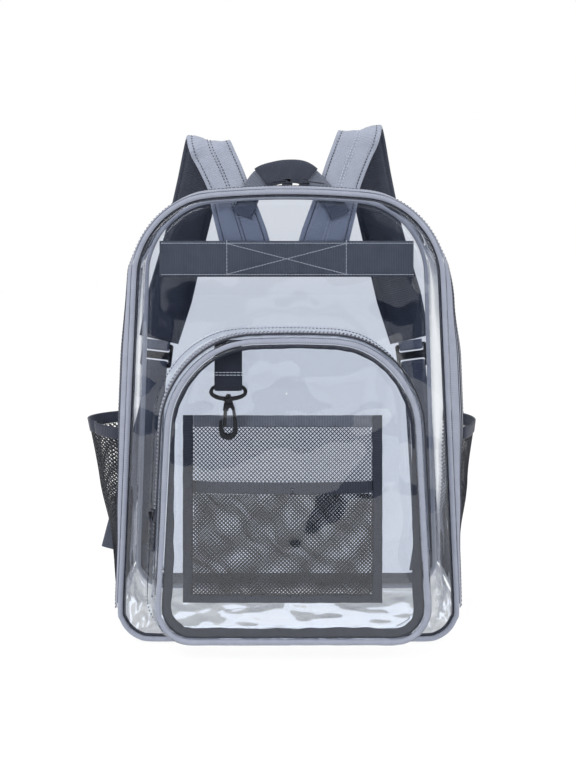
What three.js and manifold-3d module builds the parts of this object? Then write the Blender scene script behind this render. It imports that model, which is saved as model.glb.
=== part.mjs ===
// Clear backpack with a front pocket, mesh side pockets and padded shoulder straps
import * as THREE from 'three';
import * as BufferGeometryUtils from 'three/addons/utils/BufferGeometryUtils.js';
import Module from 'manifold-3d';

const wasm = await Module();
wasm.setup();

// Driving dimensions in millimetres. x runs to the right, y to the back and z up from the floor;
// the back panel lies in the plane y = 0.
const VINYL = 1.2;
const MESH = 1.0;
const TAPE = 1.0;
const WEBBING = 1.4;
const WIDE_WEBBING = 25;
const PAD = 9;
const GAP = 0.3;
const SEAT = 1.4;
const PIPING_RADIUS = 2.3;
const PIPING_OUT = 2.6;
const SEAM_OUT = 5.2;
const ZIP = { tape: 8, coil: 3, height: 1.6 };

const BAG = {
  centre: 2, halfBottom: 154, halfTop: 142, low: 6.4, high: 404, arch: 13,
  bottomRadius: 26, topRadius: 66, depthBottom: 135, depthTop: 112, crown: 5,
};
const BACK = { ...BAG, centre: 0, halfBottom: 156, halfTop: 145 };
// How far the wall swells between its seams, at places round the outline from the right-hand
// bottom corner, over the top and down the left-hand side
const SWELL = [
  { place: 8, out: 0 }, { place: 9, out: 2 }, { place: 10, out: 9 }, { place: 11.5, out: 16 },
  { place: 12.5, out: 16 }, { place: 13.5, out: 10 }, { place: 14.5, out: 4 },
  { place: 16, out: -2 }, { place: 19, out: -2 }, { place: 21, out: 1 }, { place: 25, out: 2 },
  { place: 29, out: 1 }, { place: 31, out: -2 }, { place: 34, out: -2 }, { place: 36, out: 4 },
  { place: 37.5, out: 9 }, { place: 38.5, out: 9 }, { place: 40, out: 6 },
  { place: 41, out: 1 }, { place: 42, out: 0 },
];
const POCKET_RIM = {
  centre: 6, halfBottom: 117, halfTop: 110, low: 21, high: 272, arch: 9,
  bottomRadius: 27, topRadius: 70, depthBottom: 42, depthTop: 34, crown: 3, bulge: 3,
};
const POCKET_FLARE = 5;
const POCKET_BASE = {
  ...POCKET_RIM, centre: 0,
  halfBottom: POCKET_RIM.halfBottom + POCKET_FLARE, halfTop: POCKET_RIM.halfTop + POCKET_FLARE,
  low: POCKET_RIM.low - POCKET_FLARE, high: POCKET_RIM.high + POCKET_FLARE,
};
const POCKET_ZIP_END = POCKET_RIM.low + 76;
const POCKET_SLIDER_HEIGHT = POCKET_RIM.low + 107;
const FLANGE = { start: 2.6, width: 6.6 };
const BINDING = { start: 0.5, width: 7 };
const ORGANIZER = {
  left: 21 - POCKET_RIM.halfBottom, right: POCKET_RIM.halfBottom - 28,
  low: 38.4, high: 212, midLow: 141, midHigh: 152,
};
const SIDE_POCKET = { low: 26, high: 195, hem: 11.5, front: 22, back: 8, start: 6 };
const SIDE_REACH = { left: 34, right: 15 };
const BACK_BAND = { low: BAG.high - 68, high: BAG.high - 30, half: BACK.halfTop - 11 };
const CLIP = { x: -52.8, inset: 11, z: POCKET_RIM.high - 36 };
const MAIN_SLIDER_X = { left: -1, right: 15 };
const MAIN_PULL = 17;
const POCKET_PULL = 28;

// Shoulder strap seen from the front on the right-hand side, from its anchor on the back panel,
// over the fold and down behind the bag. Above is the height over the bag's top corners. Tilt is
// the slope of the strap's width, in degrees, up towards the outside. Rise is the share of the
// extra height that one strap's fold has.
const STRAP_PATH = [
  { x: 36, y: 5.8, above: -61, width: 52, tilt: -14, rise: 0 },
  { x: 46, y: 6.2, above: -26, width: 52, tilt: -14, rise: 0 },
  { x: 56, y: 9.6, above: 6, width: 48, tilt: -10, rise: 0.1 },
  { x: 63, y: 12.5, above: 30, width: 43, tilt: -4, rise: 0.3 },
  { x: 75, y: 15, above: 57, width: 44, tilt: 6, rise: 0.8 },
  { x: 82, y: 17.5, above: 70.5, width: 46, tilt: 11, rise: 1 },
  { x: 85, y: 24.5, above: 75, width: 47, tilt: 12.5, rise: 1 },
  { x: 88, y: 32, above: 69, width: 47, tilt: 13, rise: 1 },
  { x: 97, y: 40, above: 33, width: 46, tilt: 14, rise: 0.5 },
  { x: 111, y: 48, above: -22, width: 46, tilt: 13, rise: 0 },
  { x: 129, y: 43, above: -92, width: 50, tilt: 12, rise: 0 },
  { x: 140, y: 33, above: -138, width: 44, tilt: 8, rise: 0 },
];
const STRAP_FIT = {
  left: { side: -1, shift: 0, rise: 0 },
  right: { side: 1, shift: -5, rise: 11 },
};
const LOCK = { width: 34, height: 26, thick: 4, slot: 27, barEdge: 8.5, middle: 4, below: 17 };
const CORNER_TAB = { x: BACK.halfBottom - 7, low: 20, high: 50, width: 34 };
// Loose ends of the adjusting webbing. Out is the distance outside the half width of the back.
const TAIL = {
  left: [
    { out: -8, y: 34, z: 200 },
    { out: 10, y: 31, z: 130 },
    { out: 28, y: 22, z: 62 },
    { out: 34, y: 19, z: 38 },
  ],
  right: [
    { out: -10, y: 34, z: 200 },
    { out: -6, y: 29, z: 130 },
    { out: -3, y: 22, z: 62 },
    { out: -2, y: 20, z: 38 },
  ],
};
const HANDLE_PATH = [
  { x: -47, y: 1.9, above: -3 },
  { x: -44.5, y: 2.2, above: 3 },
  { x: -41, y: 3.7, above: 12 },
  { x: -36, y: 4.2, above: 23 },
  { x: -27, y: 5, above: 36 },
  { x: -12, y: 5, above: 41.5 },
  { x: 3, y: 5, above: 43.5 },
  { x: 17, y: 5, above: 42 },
  { x: 29, y: 4.8, above: 33 },
  { x: 42, y: 4, above: 18 },
  { x: 50, y: 3.4, above: 9 },
  { x: 54, y: 2, above: 2 },
  { x: 57, y: 1.9, above: -4 },
];
const GRIP = { left: -27, right: 25, height: 25, thick: 9 };

// Materials in the colours of the photographed bag
const clear = () => new THREE.MeshStandardMaterial({
  color: 0xdfe4ee, roughness: 0.08, metalness: 0, transparent: true, opacity: 0.35,
});
const plain = (color, roughness, metalness = 0) =>
  new THREE.MeshStandardMaterial({ color, roughness, metalness });
const greyTrim = () => plain(0x959db0, 0.75);
const greyCloth = () => plain(0x9fa7b8, 0.85);
const darkWebbing = () => plain(0x3c4150, 0.85);
const darkMesh = () => plain(0x4a4f5e, 0.9);
const blackPlastic = () => plain(0x14161e, 0.45);
const zipMetal = () => plain(0x2a2d36, 0.35, 0.8);

const vec = (x, y, z) => new THREE.Vector3(x, y, z);
const mix = (a, b, t) => a + (b - a) * t;
const radians = THREE.MathUtils.degToRad;
const smooth = (value, from, to) => THREE.MathUtils.smoothstep(value, from, to);

// Closed geometry from points and triangles, turned so that its faces point out
function solid(points, triangles) {
  const volume = triangles.reduce(
    (sum, [a, b, c]) => sum + points[a].dot(points[b].clone().cross(points[c])), 0);
  const facing = volume > 0 ? triangles : triangles.map(([a, b, c]) => [a, c, b]);
  const geometry = new THREE.BufferGeometry();
  const coordinates = points.flatMap((point) => point.toArray());
  geometry.setAttribute('position', new THREE.Float32BufferAttribute(coordinates, 3));
  geometry.setIndex(facing.flat());
  return geometry;
}

// Skin through rings of points, all with the same even count. A closed loft joins its last ring
// to its first, and an open one is capped by a ladder between the two halves of each end ring.
function loft(rings, closed = false) {
  const count = rings[0].length;
  const triangles = [];
  const quad = (a, b, c, d) => triangles.push([a, b, c], [a, c, d]);
  const bands = closed ? rings.length : rings.length - 1;
  for (let i = 0; i < bands; i++) {
    const here = i * count;
    const next = ((i + 1) % rings.length) * count;
    for (let j = 0; j < count; j++) {
      const k = (j + 1) % count;
      quad(here + j, here + k, next + k, next + j);
    }
  }
  const end = (rings.length - 1) * count;
  for (let j = 0; !closed && j < count / 2 - 1; j++) {
    const k = count - 1 - j;
    quad(j + 1, j, k, k - 1);
    quad(end + j, end + j + 1, end + k - 1, end + k);
  }
  return solid(rings.flat(), triangles);
}

// Sheet of even thickness about a grid of middle points
function sheet(grid, thickness, closed = false) {
  const last = grid.length - 1;
  const rings = grid.map((row, i) => {
    const before = grid[closed ? (i + last) % grid.length : Math.max(i - 1, 0)];
    const after = grid[closed ? (i + 1) % grid.length : Math.min(i + 1, last)];
    const normals = row.map((point, j) => {
      const along = after[j].clone().sub(before[j]);
      const across = row[Math.min(j + 1, row.length - 1)].clone().sub(row[Math.max(j - 1, 0)]);
      return along.cross(across).setLength(thickness / 2);
    });
    const front = row.map((point, j) => point.clone().add(normals[j]));
    const back = row.map((point, j) => point.clone().sub(normals[j]));
    return [...front, ...back.reverse()];
  });
  return loft(rings, closed);
}

// Section carried along stations. Each station has a middle point, the direction of its width and
// the width; the section is in shares of half the width and half the thickness.
const FLAT = [[1, 1], [-1, 1], [-1, -1], [1, -1]];
const PADDED = [
  [1, 0.4], [0.85, 1], [-0.85, 1], [-1, 0.4], [-1, -0.4], [-0.85, -1], [0.85, -1], [1, -0.4],
];
function sweep(stations, thickness, section = FLAT) {
  const last = stations.length - 1;
  const rings = stations.map(({ at, across, width }, i) => {
    const tangent = stations[Math.min(i + 1, last)].at.clone().sub(stations[Math.max(i - 1, 0)].at);
    const side = across.clone().setLength(width / 2);
    const normal = tangent.cross(across).setLength(thickness / 2);
    return section.map(([u, v]) => at.clone().addScaledVector(side, u).addScaledVector(normal, v));
  });
  return loft(rings);
}

// Outline of a panel, anticlockwise as seen from the front, from the middle of its bottom edge.
// Index 25 is the middle of the top edge, and the left half mirrors the right one.
function outline(size) {
  const { centre, halfBottom, halfTop, low, high, arch, bottomRadius, topRadius } = size;
  const quarter = Math.PI / 2;
  const sideLow = low + bottomRadius;
  const sideHigh = high - topRadius;
  const right = [];
  for (let i = 0; i < 4; i++) {
    right.push([(halfBottom - bottomRadius) * i / 4, low]);
  }
  for (let i = 0; i < 4; i++) {
    const turn = quarter * i / 4;
    right.push([
      halfBottom - bottomRadius * (1 - Math.sin(turn)), low + bottomRadius * (1 - Math.cos(turn)),
    ]);
  }
  for (let i = 0; i < 6; i++) {
    right.push([mix(halfBottom, halfTop, i / 6), mix(sideLow, sideHigh, i / 6)]);
  }
  const archAt = (x) => arch * (1 - (x / halfTop) ** 2);
  for (let i = 0; i < 7; i++) {
    const turn = quarter * i / 7;
    const x = halfTop - topRadius * (1 - Math.cos(turn));
    right.push([x, sideHigh + topRadius * Math.sin(turn) + archAt(x)]);
  }
  for (let i = 0; i <= 4; i++) {
    const x = (halfTop - topRadius) * (1 - i / 4);
    right.push([x, high + archAt(x)]);
  }
  const left = right.slice(1, -1).reverse().map(([x, z]) => [-x, z]);
  const points = [...right, ...left].map(([x, z]) => [x + centre, z]);
  return points.map(([x, z], i) => {
    const [beforeX, beforeZ] = points[(i + points.length - 1) % points.length];
    const [afterX, afterZ] = points[(i + 1) % points.length];
    const length = Math.hypot(afterX - beforeX, afterZ - beforeZ);
    return { x, z, nx: (afterZ - beforeZ) / length, nz: (beforeX - afterX) / length };
  });
}

// Point between two outline points, for a place that is not a whole number
function edgeAt(points, place) {
  const start = Math.floor(place);
  const here = points[(start + points.length) % points.length];
  const next = points[(start + 1 + points.length) % points.length];
  const share = place - start;
  return {
    x: mix(here.x, next.x, share), z: mix(here.z, next.z, share),
    nx: mix(here.nx, next.nx, share), nz: mix(here.nz, next.nz, share),
  };
}

// Whole-numbered places between two ends, with the ends themselves
function places(from, to) {
  const between = [];
  for (let place = Math.ceil(from + 0.2); place <= to - 0.2; place++) {
    between.push(place);
  }
  return [from, ...between, to];
}

const bagEdge = outline(BAG);
const backEdge = outline(BACK);
const baseEdge = outline(POCKET_BASE);
const rimEdge = outline(POCKET_RIM);
const POINTS = bagEdge.length;
const around = bagEdge.map((point, i) => i);
const SIDE_START = 8.01;
const BOTTOM_END = SIDE_START - 0.05;
const SIDE_END = POINTS - SIDE_START;

const bagDepth = (z) => mix(BAG.depthBottom, BAG.depthTop, (z - BAG.low) / (BAG.high - BAG.low));
const pocketDepth = (z) => mix(
  POCKET_RIM.depthBottom, POCKET_RIM.depthTop,
  (z - POCKET_RIM.low) / (POCKET_RIM.high - POCKET_RIM.low));

// Share of a panel's crown at a point, one in the middle and none at its edge
function crownShare({ centre, halfBottom, halfTop, low, high, arch }, x, z) {
  const share = (z - low) / (high + arch - low);
  const u = (x - centre) / mix(halfBottom, halfTop, share);
  const v = 2 * share - 1;
  return Math.max(0, 1 - Math.sqrt(u ** 4 + v ** 4));
}
const frontY = (x, z) => -bagDepth(z) - BAG.crown * crownShare(BAG, x, z);
const pocketFrontY = (x, z) =>
  -bagDepth(z) - pocketDepth(z) - POCKET_RIM.crown * crownShare(POCKET_RIM, x, z);
const rimY = (z) => -bagDepth(z) - pocketDepth(z);

// Swell of the wall at a place, by a soft step from one row of the table to the next
function swellAt(place) {
  const round = (place + POINTS) % POINTS;
  const next = SWELL.findIndex((row) => row.place >= round);
  if (next < 1) {
    return 0;
  }
  const [from, to] = [SWELL[next - 1], SWELL[next]];
  return mix(from.out, to.out, smooth(round, from.place, to.place));
}

// Point on the bag's side and top wall, w millimetres behind the front edge. The wall swells
// between its two seams.
const wallDepth = (place) => bagDepth(edgeAt(bagEdge, place).z);
function wallPoint(place, w, lift) {
  const front = edgeAt(bagEdge, place);
  const back = edgeAt(backEdge, place);
  const depth = wallDepth(place);
  const share = w / depth;
  const round = Math.sqrt(Math.max(0, 1 - (2 * share - 1) ** 2));
  const out = SEAM_OUT + lift + swellAt(place) * round;
  const x = mix(front.x, back.x, share);
  const z = mix(front.z, back.z, share);
  return vec(x + out * front.nx, w - depth, z + out * front.nz);
}

// Point on the front pocket's wall, w millimetres behind the rim
function pocketWallPoint(place, w, lift) {
  const rim = edgeAt(rimEdge, place);
  const base = edgeAt(baseEdge, place);
  const rimPoint = vec(rim.x + SEAM_OUT * rim.nx, rimY(rim.z), rim.z + SEAM_OUT * rim.nz);
  const basePoint = vec(base.x, frontY(base.x, base.z) - SEAT, base.z);
  const share = w / rimPoint.distanceTo(basePoint);
  const round = Math.sqrt(Math.max(0, 1 - (2 * share - 1) ** 2));
  const out = lift + POCKET_RIM.bulge * round;
  return rimPoint.lerp(basePoint, share).add(vec(out * rim.nx, 0, out * rim.nz));
}
const pocketWallDepth = (place) => {
  const rim = edgeAt(rimEdge, place);
  const base = edgeAt(baseEdge, place);
  return Math.hypot(
    rim.x + SEAM_OUT * rim.nx - base.x,
    rimY(rim.z) - frontY(base.x, base.z) + SEAT,
    rim.z + SEAM_OUT * rim.nz - base.z);
};

// Underside of the pocket's wall at a place left of its middle, w millimetres behind the rim
function pocketCeiling(x, w) {
  let place = POINTS / 2;
  while (pocketWallPoint(place + 1, w, -2 * GAP).x > x) {
    place++;
  }
  const here = pocketWallPoint(place, w, -2 * GAP);
  const next = pocketWallPoint(place + 1, w, -2 * GAP);
  return here.lerp(next, (x - here.x) / (next.x - here.x));
}

// Panel inside an outline, as rings drawn in towards its middle
function panel(edge, shares, surfaceY) {
  const count = edge.length;
  const middleX = edge.reduce((sum, point) => sum + point.x, 0) / count;
  const middleZ = (edge[0].z + edge[count / 2].z) / 2;
  const points = [];
  const triangles = [];
  for (const face of [-1, 1]) {
    const first = points.length;
    const quad = (a, b, c, d) => {
      const corners = face < 0 ? [a, b, c, d] : [d, c, b, a];
      const [p, q, r, s] = corners.map((corner) => first + corner);
      triangles.push([p, q, r], [p, r, s]);
    };
    shares.forEach((share, ring) => {
      edge.forEach((point, j) => {
        const x = mix(middleX, point.x, share);
        const z = mix(middleZ, point.z, share);
        points.push(vec(x, surfaceY(x, z) + face * VINYL / 2, z));
        const k = (j + 1) % count;
        if (ring > 0) {
          quad((ring - 1) * count + j, (ring - 1) * count + k, ring * count + k, ring * count + j);
        }
      });
    });
    const inner = (shares.length - 1) * count;
    const middle = shares.length * count;
    points.push(vec(middleX, surfaceY(middleX, middleZ) + face * VINYL / 2, middleZ));
    for (let j = 0; j < count; j++) {
      const ends = [inner + j, inner + (j + 1) % count];
      const [a, b] = face < 0 ? ends : ends.reverse();
      triangles.push([first + a, first + b, first + middle]);
    }
  }
  const back = points.length / 2;
  for (let j = 0; j < count; j++) {
    const k = (j + 1) % count;
    triangles.push([k, j, back + j], [k, back + j, back + k]);
  }
  return solid(points, triangles);
}

// Round cord sewn all round an edge
function piping(edge, yAt) {
  const rings = edge.map((point) => {
    const ring = [];
    for (let i = 0; i < 6; i++) {
      const turn = Math.PI * i / 3;
      const out = PIPING_OUT + PIPING_RADIUS * Math.cos(turn);
      const y = yAt(point.x, point.z) + PIPING_RADIUS * Math.sin(turn);
      ring.push(vec(point.x + out * point.nx, y, point.z + out * point.nz));
    }
    return ring;
  });
  return loft(rings, true);
}

// Strip on a wall between two distances from its front edge, in a number of steps across
function wallStrip(pointAt, stops, distances, lift, thickness, closed = false) {
  const grid = stops.map((place) => distances(place).map(
    (w) => pointAt(place, w, (typeof lift === 'number' ? lift : lift(w)) + thickness / 2)));
  return sheet(grid, thickness, closed);
}

// Strip on a nearly flat surface between pairs of inner and outer points
function flatStrip(pairs, surfaceY, forward, thickness, closed = false) {
  const rings = pairs.map(([inner, outer]) => {
    const at = ([x, z], shift) => vec(x, surfaceY(x, z) - forward - shift, z);
    return [at(inner, 0), at(outer, 0), at(outer, thickness), at(inner, thickness)];
  });
  return loft(rings, closed);
}
const shifted = (edge, out) => [edge.x + out * edge.nx, edge.z + out * edge.nz];

// Boolean joins and cuts of closed geometries
function toManifold(geometry) {
  const bare = geometry.clone();
  bare.deleteAttribute('normal');
  bare.deleteAttribute('uv');
  const merged = BufferGeometryUtils.mergeVertices(bare, 1e-4);
  return new wasm.Manifold(new wasm.Mesh({
    numProp: 3,
    vertProperties: Float32Array.from(merged.attributes.position.array),
    triVerts: Uint32Array.from(merged.index.array),
  }));
}
function combine(base, { add = [], cut = [] }) {
  let result = toManifold(base);
  for (const piece of add) {
    result = result.add(toManifold(piece));
  }
  for (const piece of cut) {
    result = result.subtract(toManifold(piece));
  }
  const { vertProperties, triVerts } = result.getMesh();
  const geometry = new THREE.BufferGeometry();
  geometry.setAttribute('position', new THREE.Float32BufferAttribute(vertProperties, 3));
  geometry.setIndex(Array.from(triVerts));
  return geometry;
}
function block(x0, x1, y0, y1, z0, z1) {
  return new THREE.BoxGeometry(x1 - x0, y1 - y0, z1 - z0)
    .translate((x0 + x1) / 2, (y0 + y1) / 2, (z0 + z1) / 2);
}
function upright(radiusTop, radiusBottom, z0, z1, sides = 12) {
  return new THREE.CylinderGeometry(radiusTop, radiusBottom, z1 - z0, sides)
    .rotateX(Math.PI / 2).translate(0, 0, (z0 + z1) / 2);
}

// Flat plate in the x-z plane, centred on y = 0
function plate(corners, thickness, holes = []) {
  const shape = new THREE.Shape(corners.map(([x, z]) => new THREE.Vector2(x, z)));
  for (const hole of holes) {
    shape.holes.push(new THREE.Path(hole.map(([x, z]) => new THREE.Vector2(x, z))));
  }
  return new THREE.ExtrudeGeometry(shape, { depth: thickness, bevelEnabled: false })
    .rotateX(Math.PI / 2).translate(0, thickness / 2, 0);
}
function arc(centreX, centreZ, radiusX, radiusZ, fromDegrees, toDegrees, steps) {
  const points = [];
  for (let i = 0; i <= steps; i++) {
    const turn = radians(mix(fromDegrees, toDegrees, i / steps));
    points.push([centreX + radiusX * Math.cos(turn), centreZ + radiusZ * Math.sin(turn)]);
  }
  return points;
}
function rounded(halfX, z0, z1, radius, steps = 3) {
  return [
    ...arc(halfX - radius, z0 + radius, radius, radius, -90, 0, steps),
    ...arc(halfX - radius, z1 - radius, radius, radius, 0, 90, steps),
    ...arc(-halfX + radius, z1 - radius, radius, radius, 90, 180, steps),
    ...arc(-halfX + radius, z0 + radius, radius, radius, 180, 270, steps),
  ];
}

const bag = new THREE.Group();
function place(name, geometry, material, frame = new THREE.Matrix4()) {
  const mesh = new THREE.Mesh(geometry, material);
  mesh.name = name;
  mesh.applyMatrix4(frame);
  bag.add(mesh);
}

// Front, back, side and bottom panels of clear vinyl
function addPanels() {
  const shares = [1, 0.86, 0.55];
  place('front_panel', panel(bagEdge, shares, frontY), clear());
  place('back_panel', panel(backEdge, [1], () => 0), clear());
  const across = (place) => [0, 0.2, 0.45, 0.7, 0.9, 1].map(
    (share) => mix(2 * ZIP.tape, wallDepth(place), share));
  place('gusset', wallStrip(wallPoint, places(SIDE_START, SIDE_END), across, 0, VINYL), clear());
  const bottomAcross = (place) => [0, 0.5, 1].map((share) => share * wallDepth(place));
  const bottomStops = places(-BOTTOM_END, BOTTOM_END);
  place('bottom_panel', wallStrip(wallPoint, bottomStops, bottomAcross, 0, VINYL), clear());
}

function addPiping() {
  place('front_piping', piping(bagEdge, (x, z) => -bagDepth(z)), greyTrim());
  place('back_piping', piping(backEdge, () => 0), greyTrim());
}

// Zip over the sides and the top: a tape from the front seam, the coil, and a tape on the gusset
function addMainZip() {
  const stops = places(SIDE_START, SIDE_END);
  const tapeLift = (w) => VINYL + GAP - (VINYL + GAP) * (1 - smooth(w, 0, 5));
  const coilStart = ZIP.tape;
  const coilEnd = ZIP.tape + ZIP.coil;
  const frontTape = () => [0, coilStart * 0.45, coilStart - GAP];
  place('main_zip_front_tape', wallStrip(wallPoint, stops, frontTape, tapeLift, TAPE), greyTrim());
  const rearTape = () => [coilEnd + GAP, coilEnd + ZIP.tape / 2, coilEnd + ZIP.tape];
  place(
    'main_zip_rear_tape',
    wallStrip(wallPoint, stops, rearTape, VINYL + GAP, TAPE), greyTrim());
  const coil = () => [coilStart + GAP / 2, coilEnd - GAP / 2];
  place(
    'main_zip_coil',
    wallStrip(wallPoint, stops, coil, VINYL + GAP, ZIP.height), darkWebbing());
}

// Frame on a wall: x along the zip, y across it and z outwards
function wallFrame(pointAt, place, w, lift, forwards) {
  const step = 0.2;
  const origin = pointAt(place, w, lift);
  const along = pointAt(place + step, w, lift).sub(pointAt(place - step, w, lift));
  const across = pointAt(place, w + 1, lift).sub(pointAt(place, w - 1, lift));
  const x = along.multiplyScalar(forwards ? 1 : -1).normalize();
  const z = across.clone().cross(along);
  z.multiplyScalar(Math.sign(z.dot(origin.clone().sub(vec(0, origin.y, 200)))) || 1).normalize();
  const y = z.clone().cross(x).normalize();
  return new THREE.Matrix4().makeBasis(x, y, z).setPosition(origin);
}

// Zip slider: a body over the coil and a bridge that holds the pull
const SLIDER = { half: 5, side: 4, low: GAP, top: 3, bridge: 1.1, window: 2.8, wall: 0.7, rise: 2.8 };
const PULL_AXIS = { x: 1.9, z: SLIDER.top + 1.4 };
function slider() {
  const { half, side, low, top, bridge, window: opening, wall, rise } = SLIDER;
  const body = block(-half, half, -side, side, low, top);
  const outer = opening + wall;
  return combine(body, {
    add: [block(-outer, outer, -bridge, bridge, top - 0.5, top + rise + 1)],
    cut: [
      block(-opening, opening, -side, side, top, top + rise),
      block(-half - 1, half + 1, -ZIP.coil / 2 - 0.4, ZIP.coil / 2 + 0.4, 0, ZIP.height - 0.1),
    ],
  });
}

// Zip pull: a cross bar through the bridge, two arms and a tab with cut-outs, laid along x
function pull(length, holes) {
  const bar = 0.6;
  const inner = 1.5;
  const outer = 2.75;
  const reach = 3.6;
  const tab = block(reach, length, -outer, outer, -bar, bar);
  const arm = (y0, y1) => block(-bar, reach + 0.5, y0, y1, -bar, bar);
  const cuts = holes.map(([from, to]) => block(from, to, -1.3, 1.3, -2, 2));
  return combine(tab, {
    add: [arm(inner, outer), arm(-outer, -inner), block(-bar, bar, -outer, outer, -bar, bar)],
    cut: cuts,
  });
}
function addSlider(name, frame, length, holes, droop) {
  place(`${name}_slider`, slider(), zipMetal(), frame);
  const hang = new THREE.Matrix4().makeRotationY(radians(droop));
  hang.setPosition(PULL_AXIS.x, 0, PULL_AXIS.z);
  place(`${name}_pull`, pull(length, holes), zipMetal(), frame.clone().multiply(hang));
}
function addMainSliders() {
  const coilMiddle = ZIP.tape + ZIP.coil / 2;
  const lift = VINYL + GAP + TAPE;
  const topSpan = (BAG.halfTop - BAG.topRadius) / 4;
  const placeAt = (x) => POINTS / 2 - x / topSpan;
  for (const [side, x] of Object.entries(MAIN_SLIDER_X)) {
    const frame = wallFrame(wallPoint, placeAt(x), coilMiddle, lift, side === 'left');
    addSlider(`main_${side}`, frame, MAIN_PULL, [[6, 9], [11, 14.5]], 7);
  }
}

// Front pocket: its panel, wall, piping and the flange sewn to the front panel
function addPocket() {
  place('pocket_front_panel', panel(rimEdge, [1, 0.65], pocketFrontY), clear());
  const across = (place) => [0, 0.3, 0.7, 1].map((share) => share * pocketWallDepth(place));
  place('pocket_gusset', wallStrip(pocketWallPoint, around, across, 0, VINYL, true), clear());
  place('pocket_piping', piping(rimEdge, (x, z) => rimY(z)), greyTrim());
  const flange = baseEdge.map(
    (edge) => [shifted(edge, FLANGE.start), shifted(edge, FLANGE.start + FLANGE.width)]);
  place('pocket_flange', flatStrip(flange, frontY, SEAT, 1, true), clear());
  const binding = rimEdge.map(
    (edge) => [shifted(edge, -BINDING.start - BINDING.width), shifted(edge, -BINDING.start)]);
  place(
    'pocket_inner_binding',
    flatStrip(binding, pocketFrontY, -VINYL / 2 - GAP - TAPE, TAPE, true), greyTrim());
}

function placeAtHeight(edge, height) {
  for (let i = 8; i < 21; i++) {
    if (edge[i + 1].z >= height) {
      return i + (height - edge[i].z) / (edge[i + 1].z - edge[i].z);
    }
  }
  return 21;
}

function addPocketZip() {
  const start = placeAtHeight(rimEdge, POCKET_ZIP_END);
  const stops = places(start, POINTS - start);
  const lift = VINYL + GAP;
  const coil = () => [1.2, 1.2 + ZIP.coil];
  place(
    'pocket_zip_coil', wallStrip(pocketWallPoint, stops, coil, lift, ZIP.height), darkWebbing());
  const tapeStart = 1.2 + ZIP.coil + GAP;
  const tape = () => [tapeStart, tapeStart + ZIP.tape / 2, tapeStart + ZIP.tape];
  place('pocket_zip_tape', wallStrip(pocketWallPoint, stops, tape, lift, TAPE), greyTrim());
  const at = POINTS - placeAtHeight(rimEdge, POCKET_SLIDER_HEIGHT);
  const frame = wallFrame(pocketWallPoint, at, 1.2 + ZIP.coil / 2, lift + TAPE, true);
  addSlider('pocket', frame, POCKET_PULL, [[5.5, 8.5], [11, 15], [18, 24]], 6);
}

// Mesh organizer sewn to the front panel inside the pocket
function addOrganizer() {
  const { left, right, low, high, midLow, midHigh } = ORGANIZER;
  const side = 9.5;
  const foot = 8;
  const top = 11;
  const inLeft = left + side;
  const inRight = right - side;
  const inLow = low + foot;
  const inHigh = high - top;
  const frame = [];
  for (let i = 0; i <= 4; i++) {
    const share = i / 4;
    frame.push([[inLeft, mix(high, inLow, share)], [left, mix(high, low, share)]]);
  }
  for (let i = 1; i <= 4; i++) {
    const share = i / 4;
    frame.push([[mix(inLeft, inRight, share), inLow], [mix(left, right, share), low]]);
  }
  for (let i = 1; i <= 4; i++) {
    const share = i / 4;
    frame.push([[inRight, mix(inLow, high, share)], [right, mix(low, high, share)]]);
  }
  const rest = VINYL / 2 + GAP;
  place('organizer_frame', flatStrip(frame, frontY, rest, 3), darkWebbing());
  const strip = (z0, z1) => {
    const pairs = [];
    for (let i = 0; i <= 6; i++) {
      const x = mix(inLeft + GAP, inRight - GAP, i / 6);
      pairs.push([[x, z0], [x, z1]]);
    }
    return pairs;
  };
  place('organizer_top_binding', flatStrip(strip(inHigh, high), frontY, rest, 3), darkWebbing());
  const bow = (x, z, z0, z1) => {
    const u = (x - inLeft) / (inRight - inLeft);
    const v = Math.min(1, (z - z0) / (z1 - z0));
    return 4 * u * (1 - u) * Math.sin(Math.PI * 0.6 * v);
  };
  const mesh = (z0, z1, forward, depth) => {
    const grid = [];
    for (let i = 0; i <= 6; i++) {
      const x = mix(inLeft + GAP, inRight - GAP, i / 6);
      const row = [];
      for (let j = 0; j <= 4; j++) {
        const z = mix(z0, z1, j / 4);
        row.push(vec(x, frontY(x, z) - forward - depth * bow(x, z, z0, z1), z));
      }
      grid.push(row);
    }
    return sheet(grid, MESH);
  };
  place('organizer_back_mesh', mesh(inLow + GAP, inHigh - GAP, rest + 1, 0), darkMesh());
  place('organizer_front_mesh', mesh(inLow + GAP, midLow - GAP, rest + 3, 6), darkMesh());
  const midY = (x, z) => frontY(x, z) - 6 * bow(x, midLow, inLow + GAP, midLow - GAP);
  place(
    'organizer_mid_binding',
    flatStrip(strip(midLow, midHigh), midY, rest + 2.2, 1.6), darkWebbing());
}

// Turn of webbing under a bar 4 mm thick, as [y, z] points down one side and up the other
const BAR_PLY = 2 + GAP + WEBBING / 2;
const hairpin = (edge, middle) => [
  [-BAR_PLY, edge - 0.4], [-BAR_PLY * 0.72, middle + 0.4], [0, middle],
  [BAR_PLY * 0.72, middle + 0.4], [BAR_PLY, edge - 0.4],
];

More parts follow.
